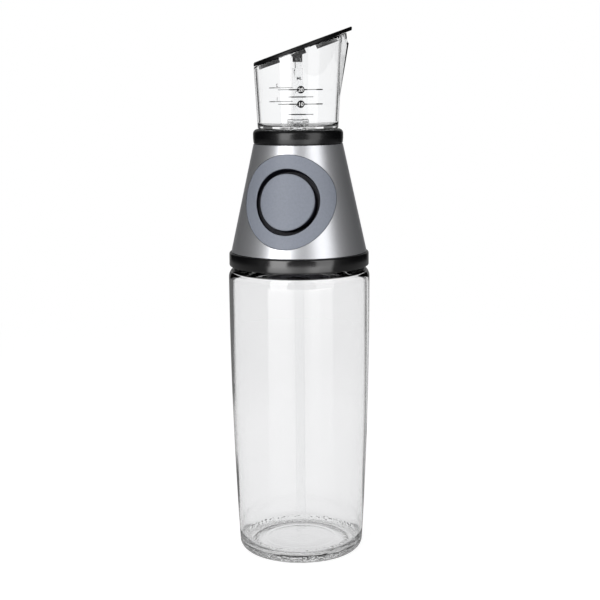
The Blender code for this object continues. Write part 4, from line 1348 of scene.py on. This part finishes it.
def camera():
    """The photograph's view."""
    data = bpy.data.cameras.new("camera")
    data.lens = CAMERA_LENS
    data.sensor_width = 36
    data.clip_start = 0.01
    obj = linked("camera", data)
    stand = Matrix.Translation(towards(0, CAMERA_DISTANCE, CAMERA_HEIGHT))
    turn = Matrix.Rotation(CAMERA_TURN - CAMERA_AIM, 4, "Z")
    tip = Matrix.Rotation(math.pi / 2 - CAMERA_DIP, 4, "X")
    roll = Matrix.Rotation(-CAMERA_ROLL, 4, "Z")
    obj.matrix_world = stand @ turn @ tip @ roll
    bpy.context.scene.camera = obj


def softbox(name, turn, width, power):
    """A tall soft lamp beside the camera, aimed at the middle of the bottle."""
    data = bpy.data.lights.new(name, "AREA")
    data.shape = "RECTANGLE"
    data.size = width
    data.size_y = SOFTBOX_TALL
    data.energy = power
    obj = linked(name, data)
    spot = towards(turn, SOFTBOX_DISTANCE, SOFTBOX_HEIGHT)
    aim = (Vector((0, 0, SOFTBOX_AIM)) - spot).to_track_quat("-Z", "Y")
    obj.matrix_world = Matrix.Translation(spot) @ aim.to_matrix().to_4x4()
    obj.visible_camera = False
    obj.visible_transmission = False


def card(name, columns, in_wall=False):
    """A glowing or dark card through columns of (turn, distance, height, tone).

    Metal and glass mirror it. One that is in_wall is seen instead through the glass, and only
    by light that has stayed inside its wall.
    """
    bm = bmesh.new()
    layer = bm.verts.layers.float.new("shade")
    rows = []
    for column in columns:
        row = []
        for turn, distance, height, tone in column:
            vert = bm.verts.new(towards(turn, distance, height))
            vert[layer] = tone
            row.append(vert)
        rows.append(row)
    for before, after in zip(rows, rows[1:]):
        for index in range(len(before) - 1):
            bm.faces.new((before[index], after[index], after[index + 1], before[index + 1]))
    made = bpy.data.materials.new(name)
    made.use_nodes = True
    tree = made.node_tree
    tree.nodes.remove(tree.nodes["Principled BSDF"])
    strength = {"Strength": attribute(tree, "shade")}
    shown = add(tree, "ShaderNodeEmission", strength, "Emission")
    if in_wall:
        passes = tree.nodes.new("ShaderNodeLightPath").outputs["Transmission Depth"]
        stayed = maths(tree, "LESS_THAN", passes, WALL_PASSES)
        open_air = tree.nodes.new("ShaderNodeBsdfTransparent").outputs["BSDF"]
        shown = add(tree, "ShaderNodeMixShader", {"Fac": stayed, 1: open_air, 2: shown}, "Shader")
    fill(tree, tree.nodes["Material Output"], {"Surface": shown})
    obj = piece(name, bm, made, None)
    obj.visible_camera = False
    obj.visible_diffuse = False
    obj.visible_shadow = False
    obj.visible_volume_scatter = False
    obj.visible_glossy = not in_wall
    obj.visible_transmission = in_wall


def side_flag(name, side):
    """Curved dark flag beside the object that the metal and the black rings mirror."""
    columns = []
    for step in range(25):
        turn = FLAG_START + FLAG_SPAN * step / 24
        tone = 0.11 - 0.10 * min(1, (turn - FLAG_START) / FLAG_FADE)
        columns.append([(side * turn, FLAG_DISTANCE, up, tone) for up in (0.0, FLAG_TALL)])
    card(name, columns)


def front_glow():
    """Light pool on the floor before the bottle, mirrored by the front of the glass."""
    card("front_glow", [
        [(turn, out, 0.003, max(0.2, tone * (0.25 + 3.25 * out))) for out in GLOW_REACHES]
        for turn, tone in GLOW_PROFILE
    ])


def edge_shade(name, side, start, end, rings):
    """Dark wedge on the floor behind the bottle, seen only along the wall of the glass."""
    columns = []
    for step in range(7):
        turn = side * (180 - (start + (end - start) * step / 6))
        columns.append([(turn, out, 0.002, tone) for out, tone in rings])
    card(name, columns, in_wall=True)


def cup_edge_shade(name, side):
    """Dark screen well behind the bottle, seen only along the wall of the cup."""
    columns = []
    for step in range(9):
        turn = side * (180 - (CUP_SHADE_START + CUP_SHADE_STEP * step))
        spots = [(turn, CUP_SHADE_DISTANCE, up, CUP_SHADE_TONE) for up in (0.1, 0.5)]
        columns.append(spots)
    card(name, columns, in_wall=True)


def studio_world():
    """White to the eye, dim to matt surfaces, and dark overhead to glass and metal."""
    world = bpy.data.worlds.new("studio")
    bpy.context.scene.world = world
    world.use_nodes = True
    tree = world.node_tree
    path = tree.nodes.new("ShaderNodeLightPath").outputs
    direction = tree.nodes.new("ShaderNodeTexCoord").outputs["Generated"]
    up = add(tree, "ShaderNodeSeparateXYZ", {"Vector": direction}, "Z")
    through = mapped(tree, up, 0.30, 0.62, 1.0, 0.12, "SMOOTHSTEP")
    level = 0.42
    for label, value in (
        ("Is Glossy Ray", 0.24),
        ("Is Transmission Ray", through),
        ("Is Camera Ray", 1.0),
    ):
        level = mixed(tree, "FLOAT", path[label], level, value)
    fill(tree, tree.nodes["Background"], {"Color": (1, 1, 1, 1), "Strength": level})


def floor():
    """Pale floor that keeps the bottle's shadow, runs out to white and mirrors dark."""
    bm = bmesh.new()
    bmesh.ops.create_grid(bm, x_segments=8, y_segments=8, size=12)
    made, tree, shader = finish("pale_floor", (0.30, 0.30, 0.30), 0.9, specular=0.0)
    matt = shader.outputs["BSDF"]
    near = add(tree, "ShaderNodeEmission", {"Strength": 0.86}, "Emission")
    lit = add(tree, "ShaderNodeAddShader", {0: matt, 1: near}, "Shader")
    far = add(tree, "ShaderNodeEmission", {"Strength": 1.0}, "Emission")
    dim = add(tree, "ShaderNodeEmission", {"Strength": 0.22}, "Emission")
    path = tree.nodes.new("ShaderNodeLightPath").outputs
    seen = path["Is Camera Ray"]
    for label in ("Is Glossy Ray", "Is Transmission Ray"):
        seen = maths(tree, "MAXIMUM", seen, path[label])
    reach = tree.nodes.new("ShaderNodeVectorMath")
    reach.operation = "LENGTH"
    fill(tree, reach, {0: own_place(tree)})
    pool = mapped(tree, reach.outputs["Value"], 0.22, 0.75, interpolation="SMOOTHSTEP")
    mirrored = maths(tree, "MULTIPLY", path["Is Glossy Ray"], path["Is Reflection Ray"])
    shown = add(tree, "ShaderNodeMixShader", {"Fac": pool, 1: lit, 2: far}, "Shader")
    shown = add(tree, "ShaderNodeMixShader", {"Fac": seen, 1: matt, 2: shown}, "Shader")
    shown = add(tree, "ShaderNodeMixShader", {"Fac": mirrored, 1: shown, 2: dim}, "Shader")
    fill(tree, tree.nodes["Material Output"], {"Surface": shown})
    obj = piece("floor", bm, made, None)


# Build

camera()
glass_bottle()
base_collar()
cone_shell()
button_surround()
push_button()
bellows()
top_collar()
measuring_cup()
graduations()
riser()
nozzle()
cup_lid()
dip_tube()
dress_frame()

studio_world()
floor()
softbox("softbox_left", -33.2, 0.57, 8.0)
softbox("softbox_right", 42, 0.61, 4.0)
side_flag("flag_left", -1)
side_flag("flag_right", 1)
front_glow()
edge_shade("edge_shade_left", -1, -9, 46, SHADE_RINGS_LEFT)
edge_shade("edge_shade_right", 1, 31, 46, SHADE_RINGS_RIGHT)
cup_edge_shade("cup_edge_shade_left", -1)
cup_edge_shade("cup_edge_shade_right", 1)

bpy.context.scene.view_settings.view_transform = "Standard"
